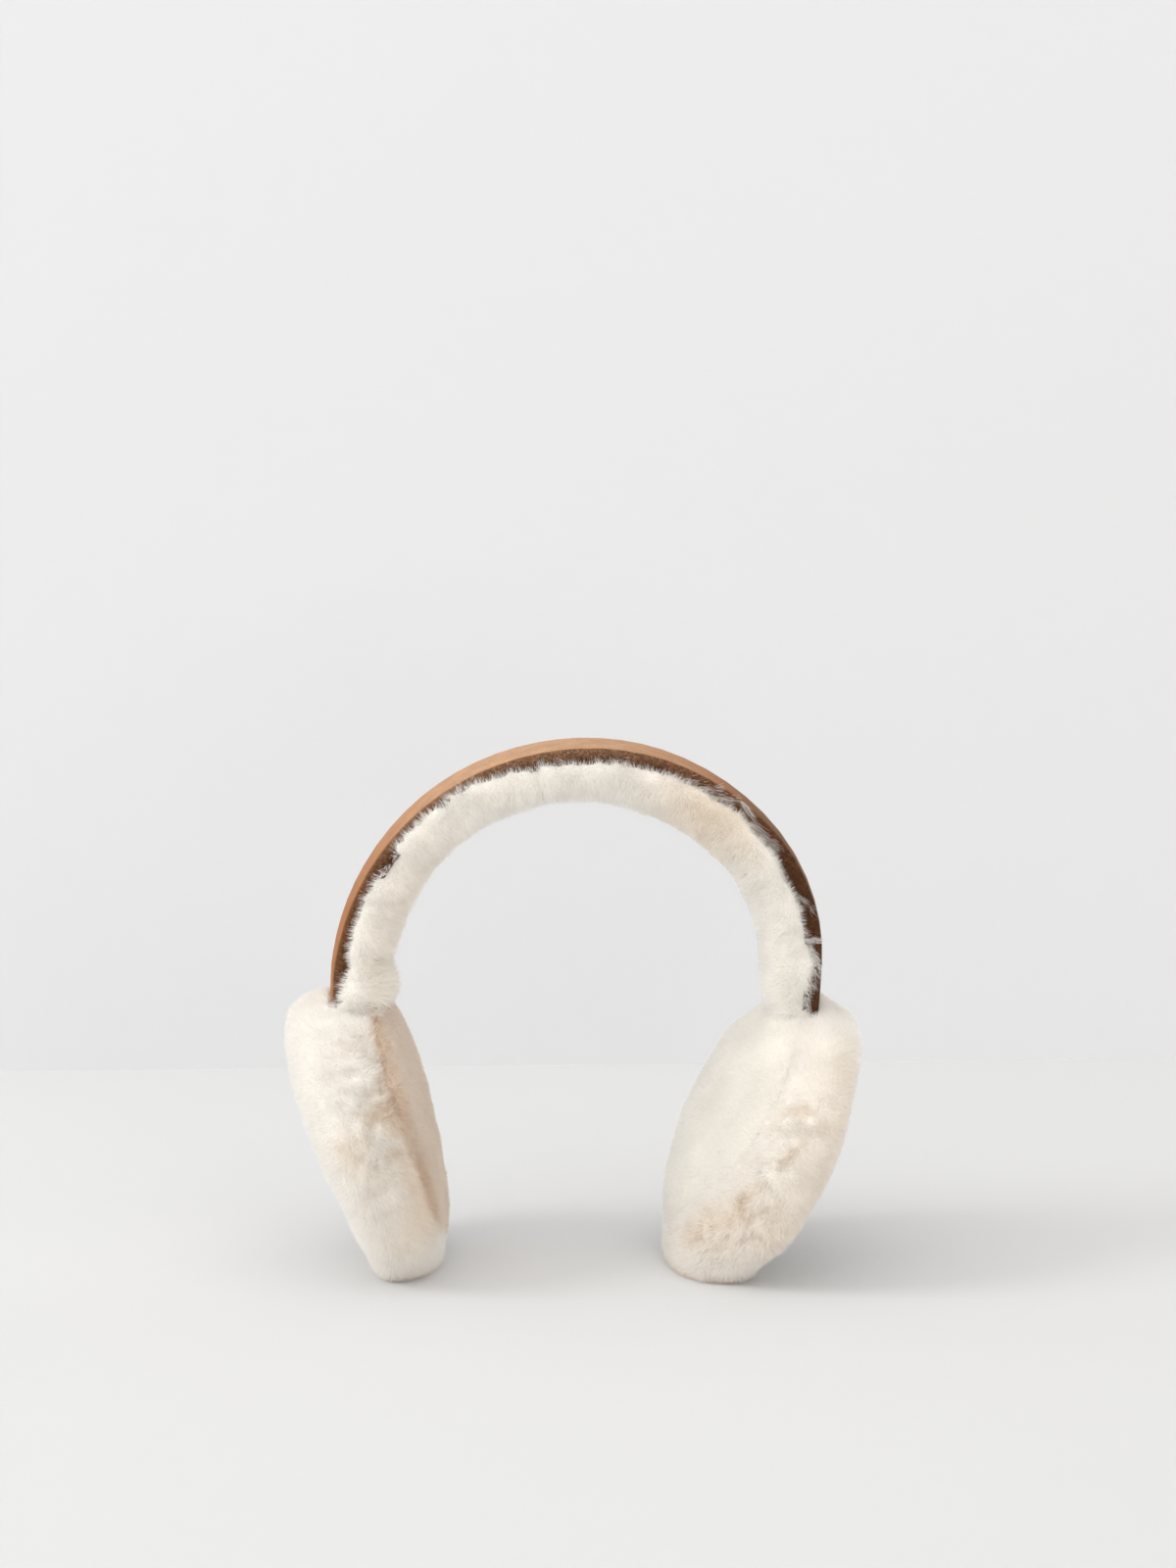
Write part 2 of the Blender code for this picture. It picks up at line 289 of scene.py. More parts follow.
@dataclass(frozen=True)
class SuedeFinish:
    """The look of the cover: tan suede on its outer face, dark brown nap on its edges."""

    name: str = "suede"
    tan: Colour = srgb(168, 114, 73)
    # A tan lit by painted light from above, and below it a tan darkened by painted shade on the right side.
    tan_top_lit: Colour = srgb(191, 149, 115)
    tan_far_shaded: Colour = srgb(128, 89, 60)
    brown: Colour = srgb(112, 75, 48)
    # A brown lit by painted light from above.
    brown_top_lit: Colour = srgb(134, 100, 75)
    # A dark brown for the nap's mottling, for the brown deeper down the edge, and for painted shade on the
    # right.
    brown_dark_nap_and_shade: Colour = srgb(72, 44, 26)
    nap_size: float = 0.0009
    nap_depth: float = 0.0003
    mottle_size: float = 0.006
    sheen: float = 0.05

    def material(self) -> bpy.types.Material:
        """Builds the material.

        Returns:
            A material that turns from tan to brown as the mesh's edge value runs from -1 to 1, paler
            with painted light from above around the top, darker with painted shade on the right where
            its far value is high, and darker where its deep value is high: deeper down the edge and,
            as painted shade, toward the right.
        """
        made, graph, shader = new_material(self.name, 0.95, 0.12, self.sheen)
        broad, nap = graph.noise(self.mottle_size, 4.0), graph.noise(self.nap_size, 3.0)
        # Painted light from above pales the tan and the brown around the top; painted shade darkens the tan
        # on the right.
        tan = graph.blend(graph.attribute("worn"), self.tan, self.tan_top_lit)
        tan = graph.blend(graph.attribute("far"), tan, self.tan_far_shaded)
        brown = graph.blend(graph.attribute("worn"), self.brown, self.brown_top_lit)
        # The deep value darkens the brown deeper down the edge and, as painted shade, toward the right; the
        # nap adds its own mottling.
        deep = graph.math("ADD", graph.ramp(nap, 0.65, 0.35), graph.attribute("deep"))
        brown = graph.blend(graph.math("MULTIPLY", deep, 0.6, clamp=True), brown, self.brown_dark_nap_and_shade)
        ragged = graph.math("MULTIPLY_ADD", nap, 1.2, -0.6)
        share = graph.ramp(graph.math("ADD", graph.attribute("edge"), ragged), -1.0, 1.0)
        grain = graph.ramp(nap, 0.3, 0.7, 0.88, 1.06)
        grain = graph.math("MULTIPLY", grain, graph.ramp(broad, 0.3, 0.7, 0.90, 1.05))
        graph.feed(shader, "Base Color", graph.toned(graph.blend(share, tan, brown), grain))
        graph.feed(shader, "Normal", graph.bump(0.6, self.nap_depth, nap))
        return made


@dataclass(frozen=True)
class NapFinish:
    """The look of the short fuzz on the cover's brown edges."""

    name: str = "suede_nap"
    root: Colour = srgb(84, 54, 35)
    tip: Colour = srgb(140, 100, 70)

    def material(self) -> bpy.types.Material:
        """Builds the material.

        Returns:
            A brown material, lighter toward the tips of the fuzz.
        """
        made, graph, shader = new_material(self.name, 0.95, 0.1)
        share = graph.math("MULTIPLY", graph.attribute("tip"), graph.attribute("shade"))
        graph.feed(shader, "Base Color", graph.blend(share, self.root, self.tip))
        return made


@dataclass(frozen=True)
class PlainFinish:
    """The look of the floor and the wall, which aren't part of the object."""

    name: str
    colour: Colour

    def material(self) -> bpy.types.Material:
        """Builds a matt material with a faint unevenness.

        Returns:
            The material.
        """
        made, graph, shader = new_material(self.name, 0.95, 0.1)
        lift = graph.math("MULTIPLY_ADD", graph.noise(1 / 3), 0.02, 0.99)
        graph.feed(shader, "Base Color", graph.toned(self.colour, lift))
        return made


FUR_WHITE = srgb(249, 246, 241)
EAR_WHITE = srgb(253, 250, 245)
LINING_WHITE = srgb(252, 249, 244)
# Creamier colours painted in as shade in creases, hollows, at the foot and on shaded sides.
PAINTED_SHADE_CREAM = srgb(245, 228, 206)
EAR_PAINTED_SHADE_CREAM = srgb(231, 212, 192)
FUR_BODY = PileFinish("fur_body", FUR_WHITE, FUR_WHITE, PAINTED_SHADE_CREAM, grain=0.3)
FUR_STRANDS = PileFinish("fur_strands", FUR_WHITE, srgb(253, 251, 248), PAINTED_SHADE_CREAM, through=0.5)
EAR_BODY = PileFinish("ear_fur_body", EAR_WHITE, EAR_WHITE, EAR_PAINTED_SHADE_CREAM, grain=0.3)
EAR_STRANDS = PileFinish("ear_fur_strands", EAR_WHITE, srgb(255, 254, 251), EAR_PAINTED_SHADE_CREAM, through=0.6)
LINING_BODY = PileFinish("lining_body", LINING_WHITE, LINING_WHITE, PAINTED_SHADE_CREAM, grain=0.3)
LINING_STRANDS = PileFinish("lining_strands", LINING_WHITE, srgb(255, 254, 252), PAINTED_SHADE_CREAM, through=0.65)


LINE_STRAY = 0.0012
FOLD_EDGE = 0.0008


class Surface:
    """A mesh as arrays of points and normals, with ways to move points and to write attributes."""

    def __init__(self, mesh: bpy.types.Mesh) -> None:
        """Reads the mesh's points.

        Args:
            mesh: The mesh.
        """
        self.mesh = mesh
        self.points = np.empty((len(mesh.vertices), 3))
        mesh.vertices.foreach_get("co", self.points.reshape(-1))

    def normals(self) -> np.ndarray:
        """Reads the normal of each point.

        Returns:
            The normals.
        """
        found = np.empty((len(self.mesh.vertices), 3), np.float32)
        self.mesh.vertex_normals.foreach_get("vector", found.reshape(-1))
        return found.astype(float)

    def move(self, points: np.ndarray) -> None:
        """Gives each point a new place.

        Args:
            points: The new place of each point.
        """
        self.points = points
        self.mesh.vertices.foreach_set("co", np.ascontiguousarray(points, np.float32).reshape(-1))
        self.mesh.update()

    def numbers(self, **columns: Any) -> None:
        """Writes numbers for the points, as one attribute for each name.

        Args:
            columns: The numbers of each attribute, or one number for all points.
        """
        for name, values in columns.items():
            layer = self.mesh.attributes.new(name, "FLOAT", "POINT")
            column = np.broadcast_to(values, len(self.points))
            layer.data.foreach_set("value", np.ascontiguousarray(column, np.float32))

    def direction(self, name: str, values: np.ndarray) -> None:
        """Writes a vector for each point, as an attribute."""
        layer = self.mesh.attributes.new(name, "FLOAT_VECTOR", "POINT")
        layer.data.foreach_set("vector", np.ascontiguousarray(values, np.float32).reshape(-1))

    def weighted_area(self, weights: np.ndarray) -> float:
        """Adds up the area of the faces in square metres, each weighted by its points.

        Args:
            weights: One weight for each point.

        Returns:
            The area.
        """
        self.mesh.calc_loop_triangles()
        corners = np.empty((len(self.mesh.loop_triangles), 3), np.int32)
        self.mesh.loop_triangles.foreach_get("vertices", corners.reshape(-1))
        a, b, c = (self.points[corners[:, i]] for i in range(3))
        area = np.linalg.norm(np.cross(b - a, c - a), axis=1) / 2
        return float((area * weights[corners].mean(axis=1)).sum())


def smooth_step(values: np.ndarray, low: float, high: float) -> np.ndarray:
    """Eases values from 0 at low to 1 at high."""
    share = np.clip((values - low) / (high - low), 0, 1)
    return share * share * (3 - 2 * share)


def bell(distance: np.ndarray, width: Any) -> np.ndarray:
    """Falls from 1 at no distance to about a third at width, and on toward 0."""
    return np.exp(-((distance / width) ** 2))


def unit(vectors: np.ndarray) -> np.ndarray:
    """Gives each row of an array the length 1."""
    return vectors / np.maximum(np.linalg.norm(vectors, axis=1, keepdims=True), 1e-9)


def lumps(points: np.ndarray, size: float, seed: float) -> np.ndarray:
    """Soft noise from about -1 to 1 over points, whose lumps are as long as size."""
    shift = Vector((seed, 2.3 * seed, -1.7 * seed))
    return np.array([noise.noise(Vector(point) / size + shift) for point in points])


def swirls(points: np.ndarray, size: float, seeds: Sequence[float]) -> np.ndarray:
    """Soft noise over points, with a column for each seed."""
    return np.stack([lumps(points, size, seed) for seed in seeds], axis=1)


@contextmanager
def editing(mesh: bpy.types.Mesh, source: bpy.types.Mesh | None = None) -> Iterator[bmesh.types.BMesh]:
    """Opens a mesh for editing and writes it back.

    Args:
        mesh: The mesh that is written.
        source: The mesh whose faces it starts from, or its own.

    Yields:
        The faces to edit.
    """
    bm = bmesh.new()
    bm.from_mesh(source or mesh)
    yield bm
    bm.to_mesh(mesh)
    bm.free()


def middles_of(bm: bmesh.types.BMesh) -> np.ndarray:
    """The middle of each face."""
    return np.array([face.calc_center_median() for face in bm.faces])


def drop_faces(bm: bmesh.types.BMesh, dropped: np.ndarray) -> None:
    """Deletes the faces whose value is true."""
    chosen = [face for face, drop in zip(bm.faces, dropped) if drop]
    bmesh.ops.delete(bm, geom=chosen, context="FACES")


def placed(name: str, data: Any) -> bpy.types.Object:
    """Makes an object of a mesh, a light or a camera, and puts it in the scene.

    Args:
        name: The object's name.
        data: What it shows.

    Returns:
        The object, at the origin.
    """
    made = bpy.data.objects.new(name, data)
    bpy.context.scene.collection.objects.link(made)
    return made


def closeness(points: np.ndarray, nodes: Sequence[str], reach: float) -> np.ndarray:
    """Tells how close points are to some of the solids.

    Args:
        points: The points.
        nodes: The solids' nodes.
        reach: The distance at which the result has fallen to about a third.

    Returns:
        A value from 0 far away to 1 on the solids, for each point.
    """
    corners, faces = [], []
    for node in nodes:
        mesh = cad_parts[node].data
        faces += [tuple(index + len(corners) for index in face.vertices) for face in mesh.polygons]
        corners += [vertex.co.copy() for vertex in mesh.vertices]
    tree = BVHTree.FromPolygons(corners, faces)
    away = np.array([tree.find_nearest(Vector(point))[3] for point in points])
    return bell(away, reach)


def copy_of(node: str, name: str) -> bpy.types.Object:
    """Copies a solid's mesh into a new object, with its loose triangles merged.

    Args:
        node: The solid's node.
        name: The new object's name.

    Returns:
        The object, at the origin.
    """
    mesh = bpy.data.meshes.new(name)
    with editing(mesh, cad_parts[node].data) as bm:
        bmesh.ops.remove_doubles(bm, verts=bm.verts, dist=1e-6)
    mesh.materials.clear()
    return placed(name, mesh)


def settle(obj: bpy.types.Object) -> bpy.types.Object:
    """Applies an object's modifiers to its mesh and shades it smooth.

    Args:
        obj: The object.

    Returns:
        The same object with a plain mesh.
    """
    graph = bpy.context.evaluated_depsgraph_get()
    mesh = bpy.data.meshes.new_from_object(obj.evaluated_get(graph), depsgraph=graph)
    mesh.name = obj.name
    obj.modifiers.clear()
    old = obj.data
    obj.data = mesh
    bpy.data.meshes.remove(old)
    mesh.shade_smooth()
    return obj


def even_out(obj: bpy.types.Object, voxel: float, rounds: int) -> bpy.types.Object:
    """Gives a soft solid even faces and rounds it.

    Args:
        obj: The solid's copy.
        voxel: The size of the mesh's faces.
        rounds: How often the faces are smoothed.

    Returns:
        The same object.
    """
    remesh = obj.modifiers.new("even", "REMESH")
    remesh.mode = "VOXEL"
    remesh.voxel_size = voxel
    smoothing = obj.modifiers.new("smooth", "SMOOTH")
    smoothing.factor = 0.5
    smoothing.iterations = rounds
    return settle(obj)


@dataclass(frozen=True)
class StrandSizes:
    """The sizes of the strands on one body, in metres or as plain shares."""

    triangles: int
    width: float
    segments: int = 1
    clump: float = 0.0030
    gather: float = 0.5
    scatter: float = 0.30
    bend: float = 0.22
    seed: int = 1


@dataclass(frozen=True)
class Feature:
    """A mark in the pile along a line of places: a parting, a dent, a fold or a raised tuft.

    Sink and width are in metres, and a negative sink raises. Painted shade is the share of the
    crease's colour painted in as shade along the mark, comb pushes the pile away from the line,
    tuft gathers it into locks, and drop slides it down, in metres. A fold marks only the side of
    the line that its piece names.
    """

    name: str
    places: tuple[tuple[float, float, float], ...]
    sink: float = 0.0
    width: float = 0.003
    warm: float = 0.0
    comb: float = 0.0
    tuft: float = 0.0
    drop: float = 0.0
    fold: bool = False


@dataclass
class Marks:
    """What the features add up to at each point of a surface, named as in Feature."""

    sink: np.ndarray
    warm: np.ndarray
    comb: np.ndarray
    tuft: np.ndarray
    drop: np.ndarray


def read_features(
    surface: Surface,
    features: Sequence[Feature],
    locate: Callable[[tuple[float, float, float]], np.ndarray],
    folded_way: np.ndarray,
) -> Marks:
    """Adds up the features over a surface.

    Args:
        surface: The surface.
        features: The features.
        locate: Turns a feature's place into a point close to the surface.
        folded_way: The direction on whose side a fold marks the pile.

    Returns:
        The marks.
    """
    mesh = surface.mesh
    faces = [tuple(face.vertices) for face in mesh.polygons]
    tree = BVHTree.FromPolygons([Vector(point) for point in surface.points], faces)
    count = len(surface.points)
    marks = Marks(*(np.zeros(shape) for shape in (count, count, (count, 3), count, count)))
    strayed = surface.points + LINE_STRAY * swirls(surface.points, 0.004, (31.0, 32.0, 33.0))
    for feature in features:
        line = np.array([tree.find_nearest(Vector(locate(place)))[0] for place in feature.places])
        away = strayed - nearest_on_line(strayed, line)
        distance = np.linalg.norm(away, axis=1)
        width = np.full(count, feature.width)
        if feature.fold:
            width[(away @ folded_way) < 0] = FOLD_EDGE
        mark = bell(distance, width)
        wide = distance / feature.width
        push = wide * bell(wide, 1.4)
        marks.sink += feature.sink * mark
        marks.drop += feature.drop * mark
        marks.warm += feature.warm * bell(distance / width, 1.1)
        marks.comb += feature.comb * push[:, None] * unit(away)
        marks.tuft += feature.tuft * bell(wide, 1.3)
    marks.warm = np.clip(marks.warm, 0, 1)
    marks.tuft = np.clip(marks.tuft, 0, 1)
    return marks


class StrandTree:
    """Geometry Nodes that grow bent, tapering strands out of a body.

    The body carries how long the strands are (pile), how thickly they stand (cover), which way
    they are combed (comb), how far they gather in locks (tuft) and how much shade is painted into
    their colour (warm).
    """

    NAME = "fur_strands"
    FLOOR = 0.00015

    def __init__(self) -> None:
        """Builds the tree once, with its named inputs."""
        self.tree = bpy.data.node_groups.new(self.NAME, "GeometryNodeTree")
        self.graph = Graph(self.tree)
        self.sockets: dict[str, str] = {}
        self._input("Body", "NodeSocketGeometry", None)
        numbers = {"Density": 1.0, "Width": 0.0003, "Clump Size": 0.004}
        numbers |= {"Gather": 0.3, "Scatter": 0.3, "Bend": 0.2}
        for name, value in numbers.items():
            self._input(name, "NodeSocketFloat", value)
        self._input("Segments", "NodeSocketInt", 2)
        self._input("Seed", "NodeSocketInt", 1)
        self._input("Finish", "NodeSocketMaterial", None)
        self.tree.interface.new_socket("Strands", in_out="OUTPUT", socket_type="NodeSocketGeometry")
        self._build()

    def _input(self, name: str, kind: str, value: Any) -> None:
        """Adds a named input and remembers its identifier.

        Args:
            name: The input's name.
            kind: Its socket's type.
            value: Its default, or none.
        """
        socket = self.tree.interface.new_socket(name, in_out="INPUT", socket_type=kind)
        if value is not None:
            socket.default_value = value
        self.sockets[name] = socket.identifier

    def _number(self, name: str) -> bpy.types.NodeSocket:
        """Reads a number that the body carries."""
        node = self.graph.add("GeometryNodeInputNamedAttribute", {"Name": name}, data_type="FLOAT")
        return node.outputs["Attribute"]

    def _random(self, low: float, high: float, seed: Any) -> bpy.types.NodeSocket:
        """Gives each strand its own number.

        Args:
            low: The lowest number.
            high: The highest number.
            seed: The seed.

        Returns:
            The number.
        """
        node = self.graph.add("FunctionNodeRandomValue", data_type="FLOAT")
        for place, value in ((2, low), (3, high), (8, seed)):
            self.graph.feed(node, place, value)
        return node.outputs[1]

    def _strand(self, given: bpy.types.Node) -> bpy.types.NodeSocket:
        """Makes one strand, 1 long and 1 wide, that stands on the origin and bends toward +X.

        Args:
            given: The tree's inputs.

        Returns:
            The strand's mesh.
        """
        graph = self.graph
        rows = graph.math("ADD", given.outputs["Segments"], 1)
        sizes = {"Size X": 1.0, "Size Y": 1.0, "Vertices X": 2, "Vertices Y": rows}
        grid = graph.add("GeometryNodeMeshGrid", sizes)
        place = graph.add("ShaderNodeSeparateXYZ", {0: graph.add("GeometryNodeInputPosition")})
        along = graph.math("ADD", place.outputs["Y"], 0.5)
        taper = graph.math("POWER", graph.math("SUBTRACT", 1.0, along, clamp=True), 0.7)
        across = graph.math("MULTIPLY", place.outputs["X"], taper)
        bow = graph.math("MULTIPLY", graph.math("POWER", along, 2.0), given.outputs["Bend"])
        shape = graph.add("ShaderNodeCombineXYZ", {"X": bow, "Y": across, "Z": along})
        bent = graph.add("GeometryNodeSetPosition", {"Geometry": grid.outputs["Mesh"], "Position": shape})
        marks = {"Geometry": bent, "Name": "tip", "Value": along}
        marked = graph.add("GeometryNodeStoreNamedAttribute", marks, data_type="FLOAT", domain="POINT")
        closed = graph.add("GeometryNodeMergeByDistance", {"Geometry": marked, "Distance": 0.001})
        return closed.outputs["Geometry"]

    def _build(self) -> None:
        """Joins the nodes."""
        graph = self.graph
        given = graph.add("NodeGroupInput")
        seed = given.outputs["Seed"]
        density = graph.math("MULTIPLY", given.outputs["Density"], self._number("cover"))
        spread = graph.add("GeometryNodeDistributePointsOnFaces", distribute_method="RANDOM")
        for place, value in (("Mesh", given.outputs["Body"]), ("Density", density), ("Seed", seed)):
            graph.feed(spread, place, value)
        place = graph.add("GeometryNodeInputPosition").outputs[0]
        size = given.outputs["Clump Size"]
        fineness = graph.math("DIVIDE", 1.0, size)
        cells = graph.add("ShaderNodeTexVoronoi", {"Vector": place, "Scale": fineness})
        cell = graph.add("ShaderNodeSeparateXYZ", {0: cells.outputs["Color"]})
        tufted = self._number("tuft")
        uneven = graph.math("MULTIPLY_ADD", tufted, 0.5, 0.2)
        level = graph.math("MULTIPLY_ADD", graph.math("SUBTRACT", cell.outputs["X"], 0.5), uneven, 1.0)
        reach = graph.math("MULTIPLY", self._number("pile"), level)
        reach = graph.math("MULTIPLY", reach, self._random(0.7, 1.1, graph.math("ADD", seed, 1)))
        inward = graph.vector("SUBTRACT", cells.outputs["Position"], place)
        gathered = graph.math("MULTIPLY_ADD", tufted, 0.9, 0.1)
        gathered = graph.math("MULTIPLY", given.outputs["Gather"], gathered)
        gather = graph.math("DIVIDE", gathered, graph.math("MAXIMUM", reach, 0.0005))
        combed = graph.add("GeometryNodeInputNamedAttribute", {"Name": "comb"}, data_type="FLOAT_VECTOR")
        chance = graph.add("FunctionNodeRandomValue", data_type="FLOAT_VECTOR")
        lowest, highest = (-1.0, -1.0, -1.0), (1.0, 1.0, 1.0)
        for socket, value in ((0, lowest), (1, highest), (8, graph.math("ADD", seed, 2))):
            graph.feed(chance, socket, value)
        scatter = graph.scaled(chance.outputs[0], given.outputs["Scatter"])
        way = graph.vector("ADD", spread.outputs["Normal"], combed.outputs["Attribute"])
        way = graph.vector("ADD", way, scatter)
        way = graph.vector("ADD", way, graph.scaled(inward, gather))
        around = self._random(0.0, 2 * math.pi, graph.math("ADD", seed, 3))
        twist = graph.add("ShaderNodeCombineXYZ", {"Z": around})
        start = graph.add("FunctionNodeEulerToRotation", {0: twist})
        turn = graph.add("FunctionNodeAlignRotationToVector", {"Rotation": start, "Vector": way}, axis="Z")
        width = self._random(0.7, 1.2, graph.math("ADD", seed, 4))
        width = graph.math("MULTIPLY", given.outputs["Width"], width)
        scale = graph.add("ShaderNodeCombineXYZ", {"X": reach, "Y": width, "Z": reach})
        shade = {"Geometry": spread.outputs["Points"], "Name": "shade"}
        shade["Value"] = self._random(0.0, 1.0, graph.math("ADD", seed, 5))
        toned = graph.add("GeometryNodeStoreNamedAttribute", shade, data_type="FLOAT", domain="POINT")
        strands = {"Points": toned, "Instance": self._strand(given), "Rotation": turn, "Scale": scale}
        grown = graph.add("GeometryNodeInstanceOnPoints", strands)
        real = graph.add("GeometryNodeRealizeInstances", {"Geometry": grown})
        here = graph.add("ShaderNodeSeparateXYZ", {0: graph.add("GeometryNodeInputPosition")})
        above = graph.math("MAXIMUM", here.outputs["Z"], self.FLOOR)
        lifted = {"X": here.outputs["X"], "Y": here.outputs["Y"], "Z": above}
        lifted = graph.add("ShaderNodeCombineXYZ", lifted)
        kept = graph.add("GeometryNodeSetPosition", {"Geometry": real, "Position": lifted})
        done = graph.add("GeometryNodeSetMaterial", {"Geometry": kept, "Material": given.outputs["Finish"]})
        graph.add("NodeGroupOutput", {0: done})

    def grow(self, body: bpy.types.Object, name: str, sizes: StrandSizes, finish: Any) -> bpy.types.Object:
        """Grows the strands of one body as a new object with a plain mesh.

        Args:
            body: The body, with the attributes that the tree reads.
            name: The new object's name.
            sizes: The strands' sizes.
            finish: The strands' material.

        Returns:
            The strands' object.
        """
        surface = Surface(body.data)
        cover = np.empty(len(body.data.vertices), np.float32)
        body.data.attributes["cover"].data.foreach_get("value", cover)
        each = 2 * sizes.segments - 1
        density = sizes.triangles / each / surface.weighted_area(cover.astype(float))
        obj = placed(name, body.data.copy())
        modifier = obj.modifiers.new("strands", "NODES")
        modifier.node_group = self.tree
        values = {"Density": density, "Width": sizes.width, "Clump Size": sizes.clump}
        values |= {"Gather": sizes.gather, "Scatter": sizes.scatter, "Bend": sizes.bend}
        values |= {"Segments": sizes.segments, "Seed": sizes.seed, "Finish": finish}
        for key, value in values.items():
            modifier[self.sockets[key]] = value
        return settle(obj)


@dataclass
class EarPad:
    """One fur pad, made of an outer panel and an ear panel that meet at its seam.

    Tilt and turn, in degrees, are those of its solids. A feature's place is degrees from the
    pad's top toward the front, the share of the way out to the rim, and -1 on the outer face to 1
    on the ear face. The ear panel laps over the seam by lap. The body lies inset below the solid,
    so that the pile ends at its surface, but rises by collar around the band and by spread at the
    foot. Swell is the height of its broad lumps, and tuft swell that of the lumps in a tuft. Droop
    and flow comb the pile down and in soft swirls. The painted shade at the foot, in the hollows
    between tufts and over the ear panel is each a share of the crease's colour, painted in as shade.
    """

    side: Side
    tilt: float
    turn: float
    features: Sequence[Feature]
    voxel: float = 0.0013
    lap: float = 0.0008
    inset: float = 0.0016
    collar: float = 0.0006
    spread: float = 0.0006
    swell: float = 0.0008
    tuft_swell: float = 0.0009
    band_reach: float = 0.0035
    foot_height: float = 0.005
    droop: float = 0.25
    flow: float = 0.30
    # Painted shade: how high it reaches at the foot, and how strong it is there, in tuft hollows and over
    # the ear panel.
    warm_height: float = 0.0022
    foot_warm: float = 0.5
    hollow_warm: float = 0.15
    ear_warm: float = 0.0
    pile: float = 0.0026
    ear_pile: float = 0.0022
    outer_triangles: int = 190000
    ear_triangles: int = 112000
    width: float = 0.00017

    def __post_init__(self) -> None:
        """Works out the pad's own axes and its extent along them, from its solids."""
        swing = 180.0 if self.side is Side.RIGHT else 0.0
        turned = Euler((0.0, -math.radians(self.tilt), math.radians(swing + self.side.value * self.turn)))
        self.axes = np.array(turned.to_matrix())
        self.label = self.side.name.lower()
        local = np.concatenate([self.solid_points(panel) @ self.axes for panel in Panel])
        low, high = local.min(axis=0), local.max(axis=0)
        self.middle, self.half = (low + high) / 2, (high - low) / 2
        self.seam = float(self.to_local(self.solid_points(Panel.INNER))[:, 0].min())

    def node(self, panel: Panel) -> str:
        """The node of one of the pad's panels."""
        return f"{self.label}_pad_{panel.value}"

    def solid_points(self, panel: Panel) -> np.ndarray:
        """The points of one panel's solid."""
        return Surface(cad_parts[self.node(panel)].data).points

    def to_local(self, points: np.ndarray) -> np.ndarray:
        """Turns points into the pad's own axes: toward the ear, along its depth, and up the rim."""
        return points @ self.axes - self.middle

    def to_world(self, local: np.ndarray) -> np.ndarray:
        """Turns points of the pad's own axes into the object's frame."""
        return (local + self.middle) @ self.axes.T

    def locate(self, place: tuple[float, float, float]) -> np.ndarray:
        """Turns a feature's place into a point close to the pad's surface.

        Args:
            place: The degrees around, the share out to the rim, and the share across.

        Returns:
            The point in the object's frame.
        """
        around, out, across = place
        turn = math.radians(around)
        local = np.array([across, out * self.side.value * math.sin(turn), out * math.cos(turn)])
        return self.to_world(local * self.half)

    def build_form(self) -> bpy.types.Object:
        """Makes one even, rounded form of both panels.

        Returns:
            The form.
        """
        form = copy_of(self.node(Panel.OUTER), f"{self.label}_pad_form")
        inner = copy_of(self.node(Panel.INNER), f"{self.label}_pad_lap")
        lapped = Surface(inner.data)
        local = self.to_local(lapped.points)
        local[:, 0] -= self.lap * (local[:, 0] < self.seam + 0.0002)
        lapped.move(self.to_world(local))
        with editing(form.data) as bm:
            bm.from_mesh(inner.data)
        bpy.data.objects.remove(inner)
        return even_out(form, self.voxel, 12)

    def dress(self, form: bpy.types.Object) -> None:
        """Presses the features into the form, and writes what its strands need.

        Args:
            form: The pad's form.
        """
        surface = Surface(form.data)
        normals = surface.normals()
        marks = read_features(surface, self.features, self.locate, self.axes[:, 0])
        swell = self.swell * lumps(surface.points, 0.016, 1.0 + self.side.value)
        small = lumps(surface.points, 0.0050, 4.0 + self.side.value)
        swell += (0.0002 + self.tuft_swell * marks.tuft) * small
        hollow = marks.tuft * np.clip(-1.8 * small, 0, 1)
        joint = closeness(surface.points, ("fur_lining", "suede_cover"), self.band_reach)
        rest = bell(surface.points[:, 2], self.foot_height)
        inset = (self.inset * (1 - joint) - self.collar * joint) * (1 - rest) - self.spread * rest
        lowered = surface.points - normals * (inset + marks.sink - swell)[:, None]
        lowered[:, 2] = np.maximum(lowered[:, 2], 0.0)
        surface.move(lowered)
        normals = surface.normals()
        local = self.to_local(surface.points)
        down = np.array([0.0, 0.0, -1.0])
        droop = down - normals * (normals @ down)[:, None]
        flow = swirls(surface.points, 0.018, (7.0, 9.0, 11.0))
        fine = swirls(surface.points, 0.005, (17.0, 19.0, 21.0))
        comb = marks.comb + self.droop * droop + self.flow * flow
        comb += (0.1 + 0.8 * marks.tuft)[:, None] * fine
        facing = ((normals @ self.axes) * unit(local)).sum(axis=1)
        lifted = 0.15 + 0.85 * smooth_step(surface.points[:, 2], 0.0003, 0.002)
        on_ear = smooth_step(local[:, 0], self.seam - 0.001, self.seam + 0.001)
        long = self.pile + (self.ear_pile - self.pile) * on_ear
        # Painted shade: the crease's colour at the foot, in the hollows between tufts, over the ear panel
        # and along the features.
        foot = bell(surface.points[:, 2], self.warm_height)
        warm = marks.warm + self.ear_warm * on_ear + self.foot_warm * foot + self.hollow_warm * hollow
        cover = lifted * smooth_step(facing, -0.1, 0.15)
        pile = long * (1 + 0.45 * marks.tuft)
        surface.numbers(cover=cover, pile=pile, warm=np.clip(warm, 0, 1), tuft=marks.tuft)
        surface.direction("comb", comb)

